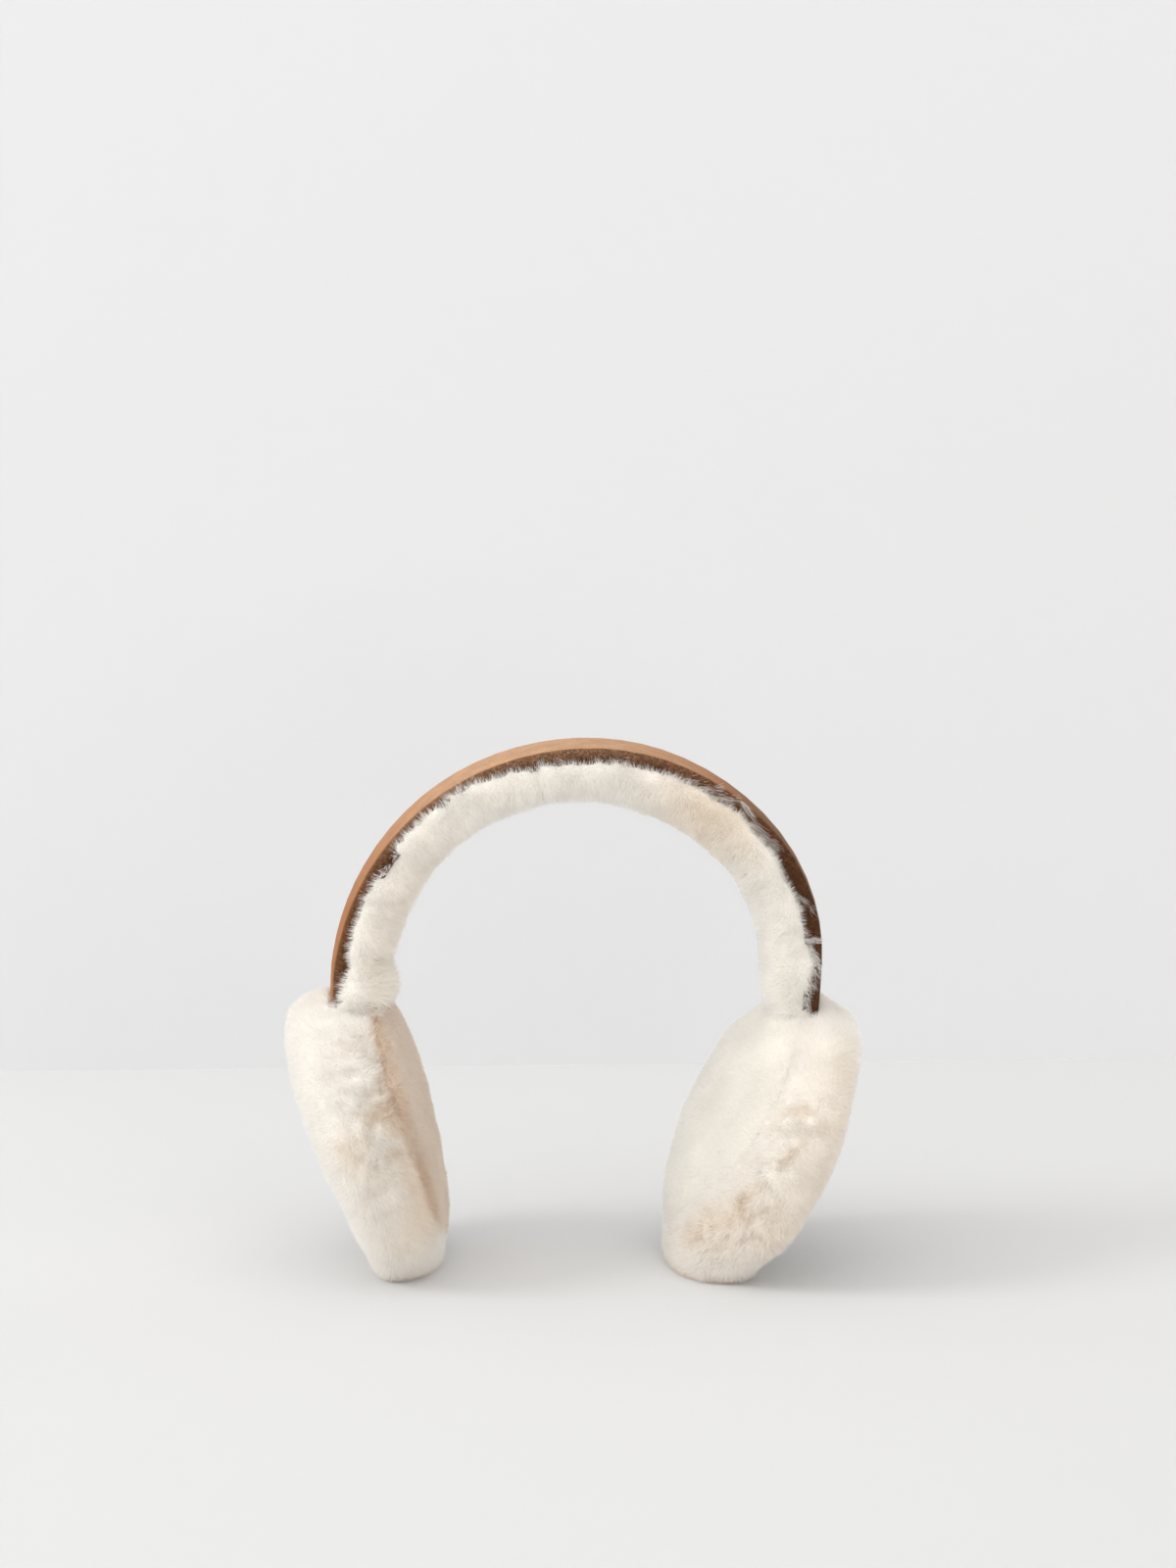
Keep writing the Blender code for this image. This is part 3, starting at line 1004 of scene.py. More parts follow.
    def cut_panel(self, form: bpy.types.Object, panel: Panel) -> bpy.types.Object:
        """Takes one panel's side of the form, open at the seam.

        Args:
            form: The pad's form.
            panel: Which panel.

        Returns:
            The panel.
        """
        mesh = bpy.data.meshes.new(f"{self.node(panel)}_fur")
        with editing(mesh, form.data) as bm:
            on_ear = self.to_local(middles_of(bm))[:, 0] > self.seam
            drop_faces(bm, on_ear if panel is Panel.OUTER else ~on_ear)
        mesh.shade_smooth()
        return placed(mesh.name, mesh)

    def close_seam(self, body: bpy.types.Object) -> None:
        """Fills a panel's open side at the seam.

        Args:
            body: The panel.
        """
        with editing(body.data) as bm:
            rim = [edge for edge in bm.edges if edge.is_boundary]
            bmesh.ops.triangle_fill(bm, use_beauty=True, edges=rim, normal=Vector(self.axes[:, 0]))
            bmesh.ops.recalc_face_normals(bm, faces=bm.faces)

    def build(self, strands: StrandTree, finishes: dict[Panel, tuple[Any, Any]]) -> list[bpy.types.Object]:
        """Makes both panels of the pad with their strands.

        Args:
            strands: The tree that grows strands.
            finishes: Each panel's materials, for its body and for its strands.

        Returns:
            The pieces.
        """
        form = self.build_form()
        self.dress(form)
        made = []
        for panel in Panel:
            body_finish, strand_finish = finishes[panel]
            body = self.cut_panel(form, panel)
            many = self.outer_triangles if panel is Panel.OUTER else self.ear_triangles
            seed = 20 + 7 * self.side.value + len(panel.value)
            sizes = StrandSizes(many, self.width, seed=seed)
            pile = strands.grow(body, f"{self.node(panel)}_pile", sizes, strand_finish)
            self.close_seam(body)
            body.data.materials.append(body_finish)
            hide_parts(self.node(panel))
            for piece in (body, pile):
                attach(piece, BODY)
            made += [body, pile]
        bpy.data.objects.remove(form)
        return made


def nearest_on_line(points: np.ndarray, line: np.ndarray) -> np.ndarray:
    """Finds the nearest place on a line of straight runs.

    Args:
        points: The points to start from.
        line: The corners of the line.

    Returns:
        The nearest place to each point.
    """
    best = np.full(len(points), np.inf)
    found = np.zeros_like(points)
    for start, end in zip(line, line[1:]):
        run = end - start
        share = np.clip(((points - start) @ run) / max(float(run @ run), 1e-12), 0, 1)
        place = start + share[:, None] * run
        away = np.linalg.norm(points - place, axis=1)
        closer = away < best
        best[closer] = away[closer]
        found[closer] = place[closer]
    return found


class ArchMap:
    """Reads the headband's arch from its cover: its centre, and its outer radius by angle."""

    STEPS = 60

    def __init__(self, node: str) -> None:
        """Fits a circle to the cover's outer points.

        Args:
            node: The cover's node.
        """
        points = Surface(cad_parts[node].data).points
        middle = np.abs(points[:, 1] - points[:, 1].mean()) < 0.006
        flat = points[middle][:, [0, 2]]
        rows = np.column_stack([2 * flat, np.ones(len(flat))])
        self.centre = np.linalg.lstsq(rows, (flat**2).sum(axis=1), rcond=None)[0][:2]
        angle, radius = self.polar(points)
        self.angles = np.linspace(angle.min(), angle.max(), self.STEPS)
        near = [np.abs(angle - step) < math.radians(3.5) for step in self.angles]
        self.radii = np.array([radius[chosen].max() for chosen in near])

    def polar(self, points: np.ndarray) -> tuple[np.ndarray, np.ndarray]:
        """The angle from the top, right side positive, and the radius of each point."""
        away = points[:, [0, 2]] - self.centre
        return np.arctan2(away[:, 0], away[:, 1]), np.hypot(away[:, 0], away[:, 1])

    def depth(self, points: np.ndarray) -> tuple[np.ndarray, np.ndarray]:
        """How far each point lies below the cover's outer face, and its angle from the top."""
        angle, radius = self.polar(points)
        return np.interp(angle, self.angles, self.radii) - radius, angle

    def inward(self, points: np.ndarray) -> np.ndarray:
        """The direction from each point toward the arch's centre."""
        away = points[:, [0, 2]] - self.centre
        return unit(np.column_stack([-away[:, 0], np.zeros(len(points)), -away[:, 1]]))


@dataclass(frozen=True)
class BandRow:
    """The headband at one angle from the top, in degrees, and the rest in metres.

    Tan reaches as deep as tan down the cover's edges and turns brown over twice soft, the pile
    laps over the cover's edges by lap, and its inner side is lower by trim.
    """

    angle: float
    tan: float
    soft: float
    lap: float
    trim: float


@dataclass(frozen=True)
class Wisp:
    """Stray strands over the cover's front edge, from one angle and depth to another."""

    start: tuple[float, float]
    end: tuple[float, float]
    width: float = 0.0007
    amount: float = 1.0


@dataclass
class Headband:
    """The suede cover and its fur lining.

    The place of a lining's feature is the angle from the top in degrees, the depth in metres, and
    -1 at the front edge to 1 at the back. Edge trim is the share that its strands are shorter by
    next to the cover. A pair of depths or angles says where a tone begins and where it is full: the
    cover darkens deep in its edge, takes painted shade toward the right and far on the right, and
    takes painted light from above around its middle, and the lining takes painted shade low on the
    left and around its shaded middle.
    """

    rows: Sequence[BandRow] = (
        BandRow(-96, -0.0001, 0.0011, 0.0044, 0.0006),
        BandRow(-91, -0.0001, 0.0011, 0.0026, 0.0008),
        BandRow(-88, -0.0001, 0.0011, 0.0014, 0.0010),
        BandRow(-84, 0.0000, 0.0011, 0.0016, 0.0012),
        BandRow(-78, 0.0001, 0.0011, 0.0030, 0.0016),
        BandRow(-68, 0.0002, 0.0011, 0.0039, 0.0016),
        BandRow(-45, 0.0002, 0.0011, 0.0041, 0.0013),
        BandRow(-30, 0.0001, 0.0009, 0.0042, 0.0006),
        BandRow(-20, 0.0002, 0.0006, 0.0035, 0.0002),
        BandRow(-8, 0.0001, 0.0005, 0.0028, 0.0003),
        BandRow(4, 0.0000, 0.0005, 0.0024, 0.0005),
        BandRow(24, 0.0001, 0.0005, 0.0024, 0.0008),
        BandRow(34, 0.0002, 0.0005, 0.0028, 0.0004),
        BandRow(44, 0.0003, 0.0005, 0.0026, 0.0012),
        BandRow(52, 0.0001, 0.0005, 0.0013, 0.0014),
        BandRow(60, -0.0004, 0.0005, 0.0008, 0.0021),
        BandRow(68, -0.0008, 0.0005, 0.0010, 0.0018),
        BandRow(76, -0.0012, 0.0005, 0.0023, 0.0020),
        BandRow(84, -0.0018, 0.0005, 0.0032, 0.0016),
        BandRow(92, -0.0025, 0.0005, 0.0032, 0.0008),
    )
    wisps: Sequence[Wisp] = (
        Wisp((-93, 0.0050), (-92, 0.0010), 0.0010, 0.8),
        Wisp((-74, 0.0055), (-72, 0.0035), 0.0010, 0.4),
        Wisp((-31, 0.0058), (-30, 0.0012), 0.0012, 1.0),
        Wisp((-28, 0.0058), (-26, 0.0022), 0.0009, 0.9),
        Wisp((-24, 0.0058), (-20, 0.0032), 0.0008, 0.8),
        Wisp((-10, 0.0056), (-9, 0.0036), 0.0008, 0.6),
        Wisp((-4, 0.0054), (-6, 0.0036), 0.0006, 0.5),
        Wisp((9, 0.0056), (12, 0.0040), 0.0010, 0.4),
        Wisp((25, 0.0056), (29, 0.0024), 0.0008, 0.7),
        Wisp((29, 0.0056), (35, 0.0016), 0.0009, 0.9),
        Wisp((34, 0.0054), (40, 0.0010), 0.0009, 0.9),
        Wisp((40, 0.0012), (47, 0.0034), 0.0006, 1.0),
        Wisp((43, 0.0056), (50, 0.0030), 0.0010, 0.7),
        Wisp((49, 0.0056), (55, 0.0028), 0.0009, 0.7),
        Wisp((66, 0.0055), (72, 0.0016), 0.0008, 0.4),
        Wisp((78.0, 0.0060), (78.6, 0.0003), 0.0007, 2.4),
        Wisp((79.5, 0.0050), (87.5, 0.0004), 0.0008, 1.6),
        Wisp((82.0, 0.0056), (88.5, 0.0012), 0.0005, 1.2),
        Wisp((86, 0.0058), (91, 0.0030), 0.0012, 0.7),
        Wisp((92, 0.0058), (97, 0.0034), 0.0012, 0.7),
    )
    features: Sequence[Feature] = (
        Feature(
            "end notch",
            ((-82.0, 0.0190, -1.0), (-81.5, 0.0190, 0.4)),
            sink=0.0030, width=0.0014, warm=0.2,
        ),
        Feature(
            "end bulge",
            ((-89.5, 0.0180, -0.8), (-89.5, 0.0200, 0.2)),
            sink=-0.0032, width=0.0040, tuft=0.6,
        ),
        Feature("upper bulge", ((-76.0, 0.0180, -0.7),), sink=-0.0010, width=0.0040, tuft=0.4),
        Feature(
            "end tuft",
            ((-88.5, 0.0090, -1.0), (-93.5, 0.0105, -1.0)),
            sink=-0.0026, width=0.0044, tuft=0.9, drop=0.0024,
        ),
        Feature(
            "end fold",
            ((-90.5, 0.0140, -1.0), (-94.0, 0.0150, -1.0)),
            sink=-0.0016, width=0.0036, tuft=0.7, drop=0.0020,
        ),
        Feature(
            "left dimple",
            ((-55.0, 0.0090, -1.0), (-50.0, 0.0160, -0.9)),
            sink=0.0008, width=0.0030, comb=0.5,
        ),
        Feature(
            "top dimple",
            ((-12.0, 0.0080, -1.0), (-12.0, 0.0150, -0.9)),
            sink=0.0007, width=0.0025, comb=0.5,
        ),
        Feature("apex tufts", ((-34.0, 0.0110, -1.0), (14.0, 0.0110, -1.0)), width=0.0070, tuft=0.30),
        Feature(
            "left tufts",
            ((-86.0, 0.0110, -1.0), (-60.0, 0.0110, -1.0), (-38.0, 0.0110, -1.0)),
            width=0.0075, tuft=0.35,
        ),
    )
    # Where the cover darkens deeper down its edge, where painted shade darkens it on the right, and where
    # painted light from above pales it around the top.
    deep_depths: tuple[float, float] = (0.0025, 0.0045)
    right_shade_angles: tuple[float, float] = (35.0, 65.0)
    far_shade_angles: tuple[float, float] = (26.0, 50.0)
    worn_middle: float = -12.0
    worn_spread: tuple[float, float] = (62.0, 12.0)
    lining_voxel: float = 0.0012
    lining_inset: float = 0.0013
    lining_swells: tuple[float, float] = (0.0008, 0.0005)
    pads_reach: float = 0.003
    flow: float = 0.30
    # Where painted shade falls on the lining: low on the left and around its shaded middle on the right,
    # and how strong it is.
    low_angles: tuple[float, float] = (-25.0, -50.0)
    shaded_middle: float = 36.0
    shaded_spread: float = 14.0
    lining_warm: float = 0.22
    lining_pile: float = 0.0032
    edge_trim: float = 0.25
    lining_triangles: int = 190000
    lining_width: float = 0.00020
    nap_length: float = 0.0005
    nap_comb: float = 0.5
    nap_triangles: int = 40000
    nap_width: float = 0.0002
    wisp_length: float = 0.0030
    wisp_triangles: int = 12000
    wisp_width: float = 0.0001

    def __post_init__(self) -> None:
        """Reads the arch and the cover's depth from the solids."""
        self.arch = ArchMap("suede_cover")
        points = Surface(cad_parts["suede_cover"].data).points
        self.cover_depth = float(np.percentile(self.arch.depth(points)[0], 99))
        low, high = float(points[:, 1].min()), float(points[:, 1].max())
        self.middle, self.half_width = (low + high) / 2, (high - low) / 2

    def across(self, points: np.ndarray) -> np.ndarray:
        """How far each point lies from the band's middle, toward the front or the back."""
        return np.abs(points[:, 1] - self.middle)

    def by_angle(self, angle: np.ndarray, name: str) -> np.ndarray:
        """Reads the rows' column of that name at each angle, in radians."""
        degrees = [row.angle for row in self.rows]
        return np.interp(np.degrees(angle), degrees, [getattr(row, name) for row in self.rows])

    def locate(self, place: tuple[float, float, float]) -> np.ndarray:
        """Turns a feature's place into a point close to the lining's surface.

        Args:
            place: The angle, the depth, and the share across the band.

        Returns:
            The point in the object's frame.
        """
        angle = math.radians(place[0])
        radius = float(np.interp(angle, self.arch.angles, self.arch.radii)) - place[1]
        x, z = self.arch.centre + radius * np.array([math.sin(angle), math.cos(angle)])
        return np.array([x, self.middle + place[2] * (self.half_width + 0.002), z])

    def build_cover(self, finish: bpy.types.Material) -> bpy.types.Object:
        """Makes the cover, with fine faces and its edge value.

        Args:
            finish: The cover's material.

        Returns:
            The cover.
        """
        cover = copy_of("suede_cover", "suede_cover_dressed")
        with editing(cover.data) as bm:
            bmesh.ops.subdivide_edges(bm, edges=bm.edges, cuts=2, use_grid_fill=True)
        surface = Surface(cover.data)
        depth, angle = self.arch.depth(surface.points)
        down = depth + np.minimum(self.across(surface.points) - self.half_width + 0.0008, 0.0)
        edge = (down - self.by_angle(angle, "tan")) / self.by_angle(angle, "soft")
        facing = np.abs(surface.normals()[:, 1])
        degrees = np.degrees(angle)
        # Painted shade on the right, through deep and far, and painted light from above around the top;
        # deep also darkens the brown deeper down the edge.
        deep = smooth_step(down, *self.deep_depths) + smooth_step(degrees, *self.right_shade_angles)
        worn = smooth_step(np.abs(degrees - self.worn_middle), *self.worn_spread)
        surface.numbers(edge=edge, deep=deep, worn=worn, far=smooth_step(degrees, *self.far_shade_angles))
        nap = smooth_step(edge, 0.0, 1.5) * smooth_step(facing, 0.6, 0.9)
        surface.numbers(cover=nap, pile=self.nap_length, warm=0.0, tuft=0.0)
        surface.direction("comb", self.nap_comb * self.arch.inward(surface.points))
        cover.data.shade_smooth()
        cover.data.set_sharp_from_angle(angle=math.radians(50))
        cover.data.materials.append(finish)
        return cover

    def build_lining(self, finish: bpy.types.Material) -> bpy.types.Object:
        """Makes the lining's dense body: lumpy pile whose sides are combed toward the head.

        Args:
            finish: The body's material.

        Returns:
            The body.
        """
        body = even_out(copy_of("fur_lining", "fur_lining_fur"), self.lining_voxel, 10)
        surface = Surface(body.data)
        normals = surface.normals()
        depth, angle = self.arch.depth(surface.points)
        marks = read_features(surface, self.features, self.locate, np.array([0.0, -1.0, 0.0]))
        past = depth - self.cover_depth
        pile = smooth_step(past, -0.0025, 0.0)
        pads = [f"{side.name.lower()}_pad_{panel.value}" for side in Side for panel in Panel]
        pile *= 1 - closeness(surface.points, pads, self.pads_reach)
        broad, small = self.lining_swells
        swell = broad * lumps(surface.points, 0.012, 2.0) + small * lumps(surface.points, 0.005, 3.0)
        lowered = pile * (self.lining_inset - swell) + marks.sink
        inward = self.arch.inward(surface.points)
        ahead = smooth_step(self.across(surface.points), self.half_width - 0.0004, self.half_width + 0.0006)
        ahead *= smooth_step(past, 0.0085, 0.0005)
        ragged = 1 + 0.35 * lumps(surface.points, 0.0040, 6.0) + 0.25 * lumps(surface.points, 0.0020, 12.0)
        rise = self.by_angle(angle, "lap") * ahead * ragged
        rise += self.by_angle(angle, "trim") * smooth_step(past, 0.003, 0.011)
        moved = surface.points - normals * lowered[:, None] - inward * rise[:, None]
        moved[:, 2] -= marks.drop
        surface.move(moved)
        normals = surface.normals()
        sideways = 1 - np.abs((normals * inward).sum(axis=1))
        flow = swirls(surface.points, 0.012, (5.0, 6.0, 8.0))
        fine = swirls(surface.points, 0.004, (25.0, 26.0, 28.0))
        swept = smooth_step(past, -0.001, 0.009)
        comb = marks.comb + ((1.5 * swept - 0.7) * sideways)[:, None] * inward + self.flow * flow
        comb += (0.15 + 0.6 * marks.tuft)[:, None] * fine
        short = 1 - self.edge_trim * (1 - smooth_step(past, 0.001, 0.006))
        long = self.lining_pile * short * (1 + 0.25 * sideways + 0.3 * marks.tuft)
        degrees = np.degrees(angle)
        # Painted shade on the lining: low on the left, around its shaded middle, and along its features.
        low = smooth_step(past, 0.002, 0.012) * smooth_step(degrees, *self.low_angles)
        shaded = bell(degrees - self.shaded_middle, self.shaded_spread) + 0.5 * low
        warm = self.lining_warm * shaded + marks.warm
        surface.numbers(cover=smooth_step(past, -0.0026, -0.0008), pile=long)
        surface.numbers(warm=np.clip(warm, 0, 1), tuft=np.clip(0.12 + marks.tuft, 0, 1))
        surface.direction("comb", comb)
        body.data.materials.append(finish)
        return body

    def build_wisps(self, cover: bpy.types.Object, strands: StrandTree, finish: Any) -> bpy.types.Object:
        """Grows the stray strands that lie over the cover's edges.

        Args:
            cover: The dressed cover.
            strands: The tree that grows strands.
            finish: The strands' material.

        Returns:
            The wisps' object.
        """
        base = placed("wisp_base", bpy.data.meshes.new("wisp_base"))
        with editing(base.data, cover.data) as bm:
            drop_faces(bm, self.across(middles_of(bm)) < self.half_width - 0.0015)
            bmesh.ops.subdivide_edges(bm, edges=bm.edges, cuts=3, use_grid_fill=True)
        surface = Surface(base.data)
        for name in ("cover", "pile", "comb", "warm", "tuft"):
            base.data.attributes.remove(base.data.attributes[name])
        depth, angle = self.arch.depth(surface.points)
        inward = self.arch.inward(surface.points)
        along = np.column_stack([-inward[:, 2], np.zeros(len(depth)), inward[:, 0]])
        radius = float(self.arch.radii.mean())
        count = len(depth)
        thick, comb, length = np.zeros(count), np.zeros((count, 3)), np.zeros(count)
        places = np.column_stack([angle * radius, depth])
        stray = swirls(surface.points, 0.0015, (41.0, 42.0))
        places += 0.0005 * stray
        for wisp in self.wisps:
            ends = [np.array([math.radians(at) * radius, deep]) for at, deep in (wisp.start, wisp.end)]
            start, run = ends[0], ends[1] - ends[0]
            far = float(np.hypot(*run))
            share = np.clip((places - start) @ run / far**2, 0, 1)
            away = places - start - share[:, None] * run
            mark = wisp.amount * np.exp(-((away / wisp.width) ** 2).sum(axis=1)) * (1.15 - share)
            thick += mark
            comb += mark[:, None] * (run[0] * along + run[1] * inward) / far
            length += mark * np.clip((1 - share) * far + 0.0006, 0.0008, self.wisp_length)
        surface.numbers(cover=thick, pile=length / np.maximum(thick, 1e-6), warm=0.0, tuft=0.4)
        sidestep = np.column_stack([stray[:, 0], np.zeros(count), stray[:, 1]])
        surface.direction("comb", 2.6 * unit(comb) + 0.5 * sidestep)
        sizes = StrandSizes(self.wisp_triangles, self.wisp_width, segments=2, scatter=0.5)
        wisps = strands.grow(base, "stray_wisps", sizes, finish)
        bpy.data.objects.remove(base)
        return wisps

    def build(self, strands: StrandTree) -> list[bpy.types.Object]:
        """Makes the cover, its nap, the lining and its strands.

        Args:
            strands: The tree that grows strands.

        Returns:
            The pieces.
        """
        cover = self.build_cover(SuedeFinish().material())
        nap_sizes = StrandSizes(self.nap_triangles, self.nap_width, clump=0.0012, scatter=0.8, seed=3)
        nap = strands.grow(cover, "suede_nap", nap_sizes, NapFinish().material())
        lining = self.build_lining(LINING_BODY.material())
        strand_finish = LINING_STRANDS.material()
        pile_sizes = StrandSizes(self.lining_triangles, self.lining_width, clump=0.0025, seed=4)
        pile = strands.grow(lining, "fur_lining_pile", pile_sizes, strand_finish)
        wisps = self.build_wisps(cover, strands, strand_finish)
        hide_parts("suede_cover")
        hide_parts("fur_lining")
        made = [cover, nap, lining, pile, wisps]
        for piece in made:
            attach(piece, BODY)
        return made


@dataclass
class Studio:
    """The pale floor and wall, the soft lights, and the camera.

    Lengths are in metres, angles in degrees, powers in watts and the lens in millimetres. The
    surround's strength runs from low to high toward its brightest way.
    """

    wall_y: float = 0.30
    reach: float = 3.0
    height: float = 2.6
    azimuth: float = -3.0
    pitch: float = 9.0
    distance: float = 1.45
    aim_height: float = 0.161
    aim_right: float = 0.00576
    lens: float = 101.95
    key_power: float = 32.0
    top_power: float = 2.6
    fill_power: float = 3.9
    lit_height: float = 0.08
    surround_low: float = 0.0
    surround_high: float = 1.48
    key_colour: tuple[float, float, float] = (0.955, 0.98, 1.0)
    surround_colour: Colour = (1.0, 0.987, 0.971, 1.0)
    floor_colour: Colour = srgb(216, 216, 216)
    wall_colour: Colour = srgb(215, 215, 216)
    brightest_way: tuple[float, float, float] = (-0.2, -0.9, 0.38)

    def build_sheet(self, name: str, corners: Sequence[tuple[float, float, float]], colour: Colour) -> None:
        """Makes one flat sheet of the surroundings from its four corners.

        Args:
            name: The sheet's name.
            corners: Its four corners.
            colour: Its colour.
        """
        mesh = bpy.data.meshes.new(name)
        mesh.from_pydata(corners, [], [(0, 1, 2, 3)])
        mesh.materials.append(PlainFinish(f"{name}_paper", colour).material())
        sheet = placed(name, mesh)

    def build_sweep(self) -> None:
        """Makes the floor, and the wall behind it."""
        near, far, side, top = -self.reach, self.wall_y, self.reach, self.height
        floor = ((-side, near, 0.0), (side, near, 0.0), (side, far, 0.0), (-side, far, 0.0))
        wall = ((-side, far, 0.0), (side, far, 0.0), (side, far, top), (-side, far, top))
        self.build_sheet("floor", floor, self.floor_colour)
        self.build_sheet("wall", wall, self.wall_colour)

    def add_light(
        self, name: str, place: Vector, size: float, power: float, colour: Sequence[float] = (1.0, 1.0, 1.0)
    ) -> None:
        """Adds a square area light that faces the object.

        Args:
            name: The light's name.
            place: Where it stands.
            size: Its width.
            power: Its power in watts.
            colour: Its colour.
        """
        data = bpy.data.lights.new(name, "AREA")
        data.size = size
        data.energy = power
        data.color = colour
        light = placed(name, data)
        light.location = place
        aim = Vector((0.0, 0.0, self.lit_height)) - place
        light.rotation_euler = aim.to_track_quat("-Z", "Y").to_euler()

    def light(self) -> None:
        """Sets a soft key from the left, a low light in front, one above, and a surround."""
        self.add_light("key", Vector((-2.6, -0.6, 2.0)), 1.2, self.key_power, self.key_colour)
        self.add_light("fill", Vector((0.35, -1.5, 0.12)), 0.7, self.fill_power)
        self.add_light("top", Vector((-0.2, -0.35, 1.7)), 1.6, self.top_power)
        world = bpy.data.worlds.new("surround")
        world.use_nodes = True
        graph = Graph(world.node_tree)
        way = graph.add("ShaderNodeTexCoord").outputs["Generated"]
        brightest = Vector(self.brightest_way).normalized()
        toward = graph.add("ShaderNodeVectorMath", {0: way, 1: brightest}, operation="DOT_PRODUCT")
        share = graph.ramp(toward.outputs["Value"], -0.3, 1.0, self.surround_low, self.surround_high)
        shade = world.node_tree.nodes["Background"]
        shade.inputs["Color"].default_value = self.surround_colour
        graph.feed(shade, "Strength", share)
        bpy.context.scene.world = world

    def aim_camera(self) -> None:
        """Places the camera at the photograph's angle."""
        azimuth, pitch = math.radians(self.azimuth), math.radians(self.pitch)
        level = math.cos(pitch)
        back = Vector((math.sin(azimuth) * level, -math.cos(azimuth) * level, math.sin(pitch)))
        right = Vector((math.cos(azimuth), math.sin(azimuth), 0.0))
        target = Vector((0.0, 0.0, self.aim_height)) + self.aim_right * right
        data = bpy.data.cameras.new("camera")
        data.lens = self.lens
        data.sensor_width = 36.0
        camera = placed("camera", data)
        camera.location = target + self.distance * back
        camera.rotation_euler = (-back).to_track_quat("-Z", "Y").to_euler()
        bpy.context.scene.camera = camera

    def build(self) -> None:
        """Sets up the whole studio."""
        self.build_sweep()
        self.light()
        self.aim_camera()
        bpy.context.scene.view_settings.view_transform = "Standard"


LEFT_PAD = EarPad(
    Side.LEFT,
    tilt=16.9,
    turn=1.0,
    ear_warm=0.5,
    # The crease colour that each feature adds is painted shade in its crease, dent or shaded edge.
    features=(
        Feature(
            "slim ear side",
            ((18, 0.70, 0.92), (40, 0.40, 1.0), (90, 0.25, 1.0), (112, 0.55, 0.90)),
            sink=0.0036, width=0.0300,
        ),
        # Painted shade low on the ear panel and along the foot.
        Feature("warm ear foot", ((112, 0.72, 0.72), (128, 0.87, 0.54)), width=0.0110, warm=0.30),
        Feature(
            "warm foot",
            ((104, 0.98, 0.0), (135, 0.98, 0.05), (150, 0.95, 0.0)),
            width=0.0170, warm=0.05,
        ),
        Feature(
            "outer pile overhang",
            (
                (26, 0.95, 0.50), (36, 0.91, 0.52), (40, 0.91, 0.47),
                (52, 0.91, 0.48), (60, 0.92, 0.38), (69, 0.89, 0.48),
            ),
            sink=0.0020, width=0.0058, warm=0.29, comb=0.25, tuft=0.25, fold=True,
        ),
        Feature(
            "first hook",
            ((69, 0.91, 0.35), (72, 0.88, 0.50)),
            sink=0.0010, width=0.0021, warm=0.30, tuft=0.5,
        ),
        Feature(
            "second hook",
            ((72, 0.92, 0.32), (77, 0.89, 0.41), (81, 0.87, 0.50)),
            sink=0.0010, width=0.0024, warm=0.33, comb=0.4, tuft=0.5,
        ),
        Feature(
            "third hook",
            ((73, 0.98, 0.06), (71, 0.97, 0.16), (71, 0.93, 0.27)),
            sink=0.0005, width=0.0015, warm=0.21, comb=0.3, tuft=0.4,
        ),
        Feature("outer dip", ((82, 1.0, -0.36), (86, 1.0, -0.29)), sink=0.0006, width=0.0042, warm=0.19),
        Feature(
            "swirl",
            ((90, 0.90, 0.32), (91, 0.84, 0.44), (95, 0.86, 0.49), (100, 0.88, 0.46), (109, 0.84, 0.46)),
            sink=0.0008, width=0.0019, warm=0.25, comb=0.4, tuft=0.3,
        ),
        Feature(
            "ear rim line",
            ((100, 0.80, 0.62), (104, 0.78, 0.70), (122, 0.80, 0.64), (150, 0.90, 0.48)),
            sink=0.0005, width=0.0022, warm=0.13, comb=0.2,
        ),
        Feature("upper tuft", ((78, 0.99, -0.10), (82, 0.99, -0.06)), sink=-0.0006, width=0.0018, tuft=0.6),
        Feature("lower tuft", ((91, 0.98, -0.11), (94, 0.98, -0.09)), sink=-0.0006, width=0.0018, tuft=0.6),
        Feature(
            "ruffled front",
            ((69, 0.96, 0.14), (81, 0.98, 0.04), (97, 0.98, -0.04)),
            width=0.0075, tuft=0.7,
        ),
        Feature(
            "pale column",
            ((39, 0.96, 0.26), (53, 0.96, 0.22), (63, 0.98, 0.16)),
            width=0.0050, tuft=0.5,
        ),
    ),
)
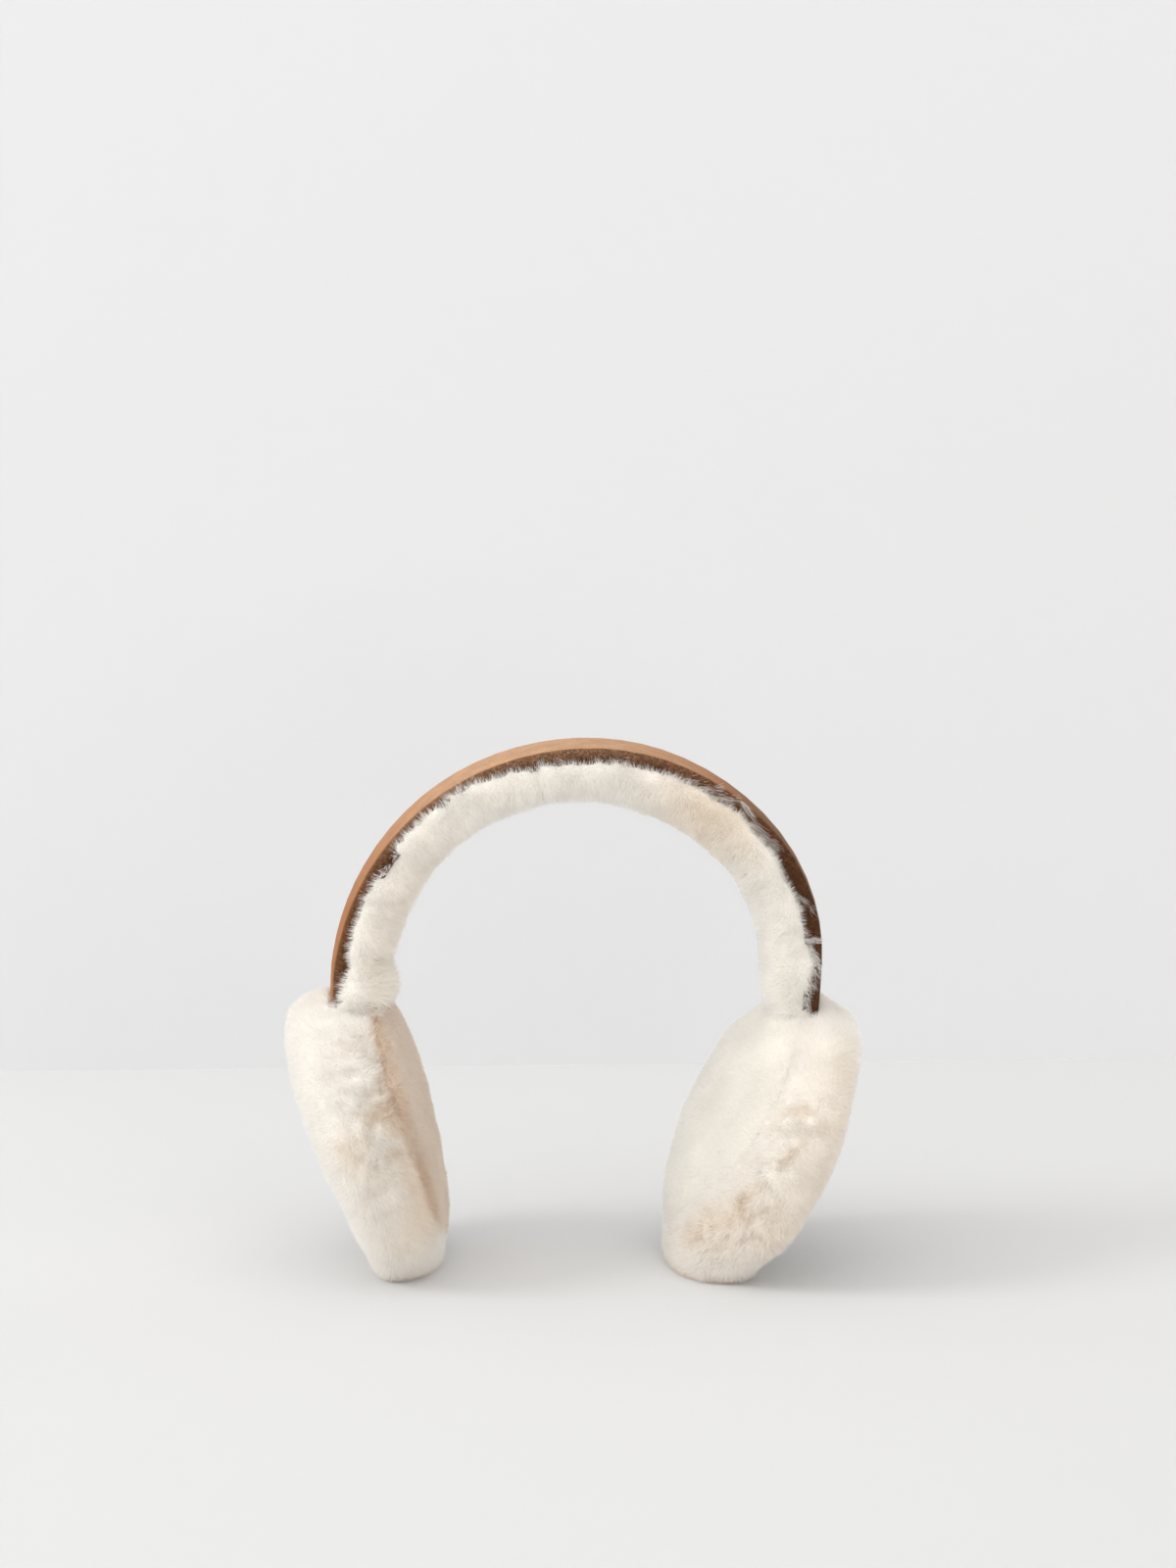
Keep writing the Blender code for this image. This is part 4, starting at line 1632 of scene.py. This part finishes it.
RIGHT_PAD = EarPad(
    Side.RIGHT,
    tilt=30.8,
    turn=7.0,
    # The crease colour that each feature adds is painted shade in its crease, dent or shaded edge.
    features=(
        Feature(
            "slim ear side",
            ((80, 0.30, 0.95), (103, 0.40, 0.88), (120, 0.60, 0.68)),
            sink=0.0022, width=0.0200,
        ),
        Feature(
            "full outer side",
            ((78, 0.86, -0.70), (100, 0.85, -0.72), (120, 0.85, -0.78)),
            sink=-0.0024, width=0.0120,
        ),
        # Painted shade on the outer edge, which faces away from the key light.
        Feature(
            "warm outer edge",
            ((45, 0.97, -0.50), (70, 0.90, -0.62), (95, 0.85, -0.71), (120, 0.85, -0.78)),
            width=0.0120, warm=0.19,
        ),
        # Painted shade along the foot.
        Feature(
            "warm foot",
            ((118, 0.96, -0.10), (148, 0.95, 0.15), (160, 0.90, 0.30)),
            width=0.0150, warm=0.06,
        ),
        Feature(
            "tuft ridge",
            ((79, 0.89, 0.37), (74, 0.91, 0.31), (71, 0.97, 0.16), (69, 1.0, -0.10)),
            sink=-0.0009, width=0.0024, tuft=0.5,
        ),
        Feature(
            "dent above the ridge",
            ((76, 0.88, 0.42), (71, 0.91, 0.34), (66, 0.98, 0.08)),
            sink=0.0007, width=0.0017, warm=0.13, tuft=0.5,
        ),
        Feature(
            "spot",
            ((89, 0.97, 0.02), (86, 0.99, 0.04)),
            sink=0.0008, width=0.0016, warm=0.21, tuft=0.4,
        ),
        Feature(
            "second spot",
            ((83, 0.99, 0.04), (80, 1.0, -0.07)),
            sink=0.0005, width=0.0016, warm=0.15, tuft=0.4,
        ),
        Feature("front tufts", ((96, 0.93, 0.20), (96, 0.99, 0.04)), sink=-0.0007, width=0.0022, tuft=0.8),
        Feature(
            "short crease",
            ((113, 0.91, 0.26), (107, 0.92, 0.22), (102, 0.94, 0.19)),
            sink=0.0006, width=0.0022, warm=0.18, comb=0.4, tuft=0.4,
        ),
        Feature(
            "long crease",
            ((155, 0.84, 0.33), (141, 0.84, 0.35), (129, 0.87, 0.27), (117, 0.93, 0.12)),
            sink=0.0010, width=0.0038, warm=0.23, comb=0.7, tuft=0.4,
        ),
        Feature(
            "radial tufts",
            ((145, 0.91, 0.16), (131, 0.94, 0.02), (118, 0.97, -0.22)),
            width=0.0075, tuft=1.0,
        ),
        Feature("ruffled front", ((80, 0.97, 0.05), (100, 0.97, 0.05)), width=0.0080, tuft=0.5),
    ),
)


def main() -> None:
    """Builds every sub-assembly in order and reports its pieces."""
    logging.basicConfig(level=logging.INFO, format="%(name)s: %(message)s")
    Studio().build()
    strands = StrandTree()
    pieces = Headband().build(strands)
    finishes = {
        Panel.OUTER: (FUR_BODY.material(), FUR_STRANDS.material()),
        Panel.INNER: (EAR_BODY.material(), EAR_STRANDS.material()),
    }
    for pad in (LEFT_PAD, RIGHT_PAD):
        pieces += pad.build(strands, finishes)
    for piece in pieces:
        LOG.info("%s: %d faces", piece.name, len(piece.data.polygons))


if __name__ == "__main__":
    main()
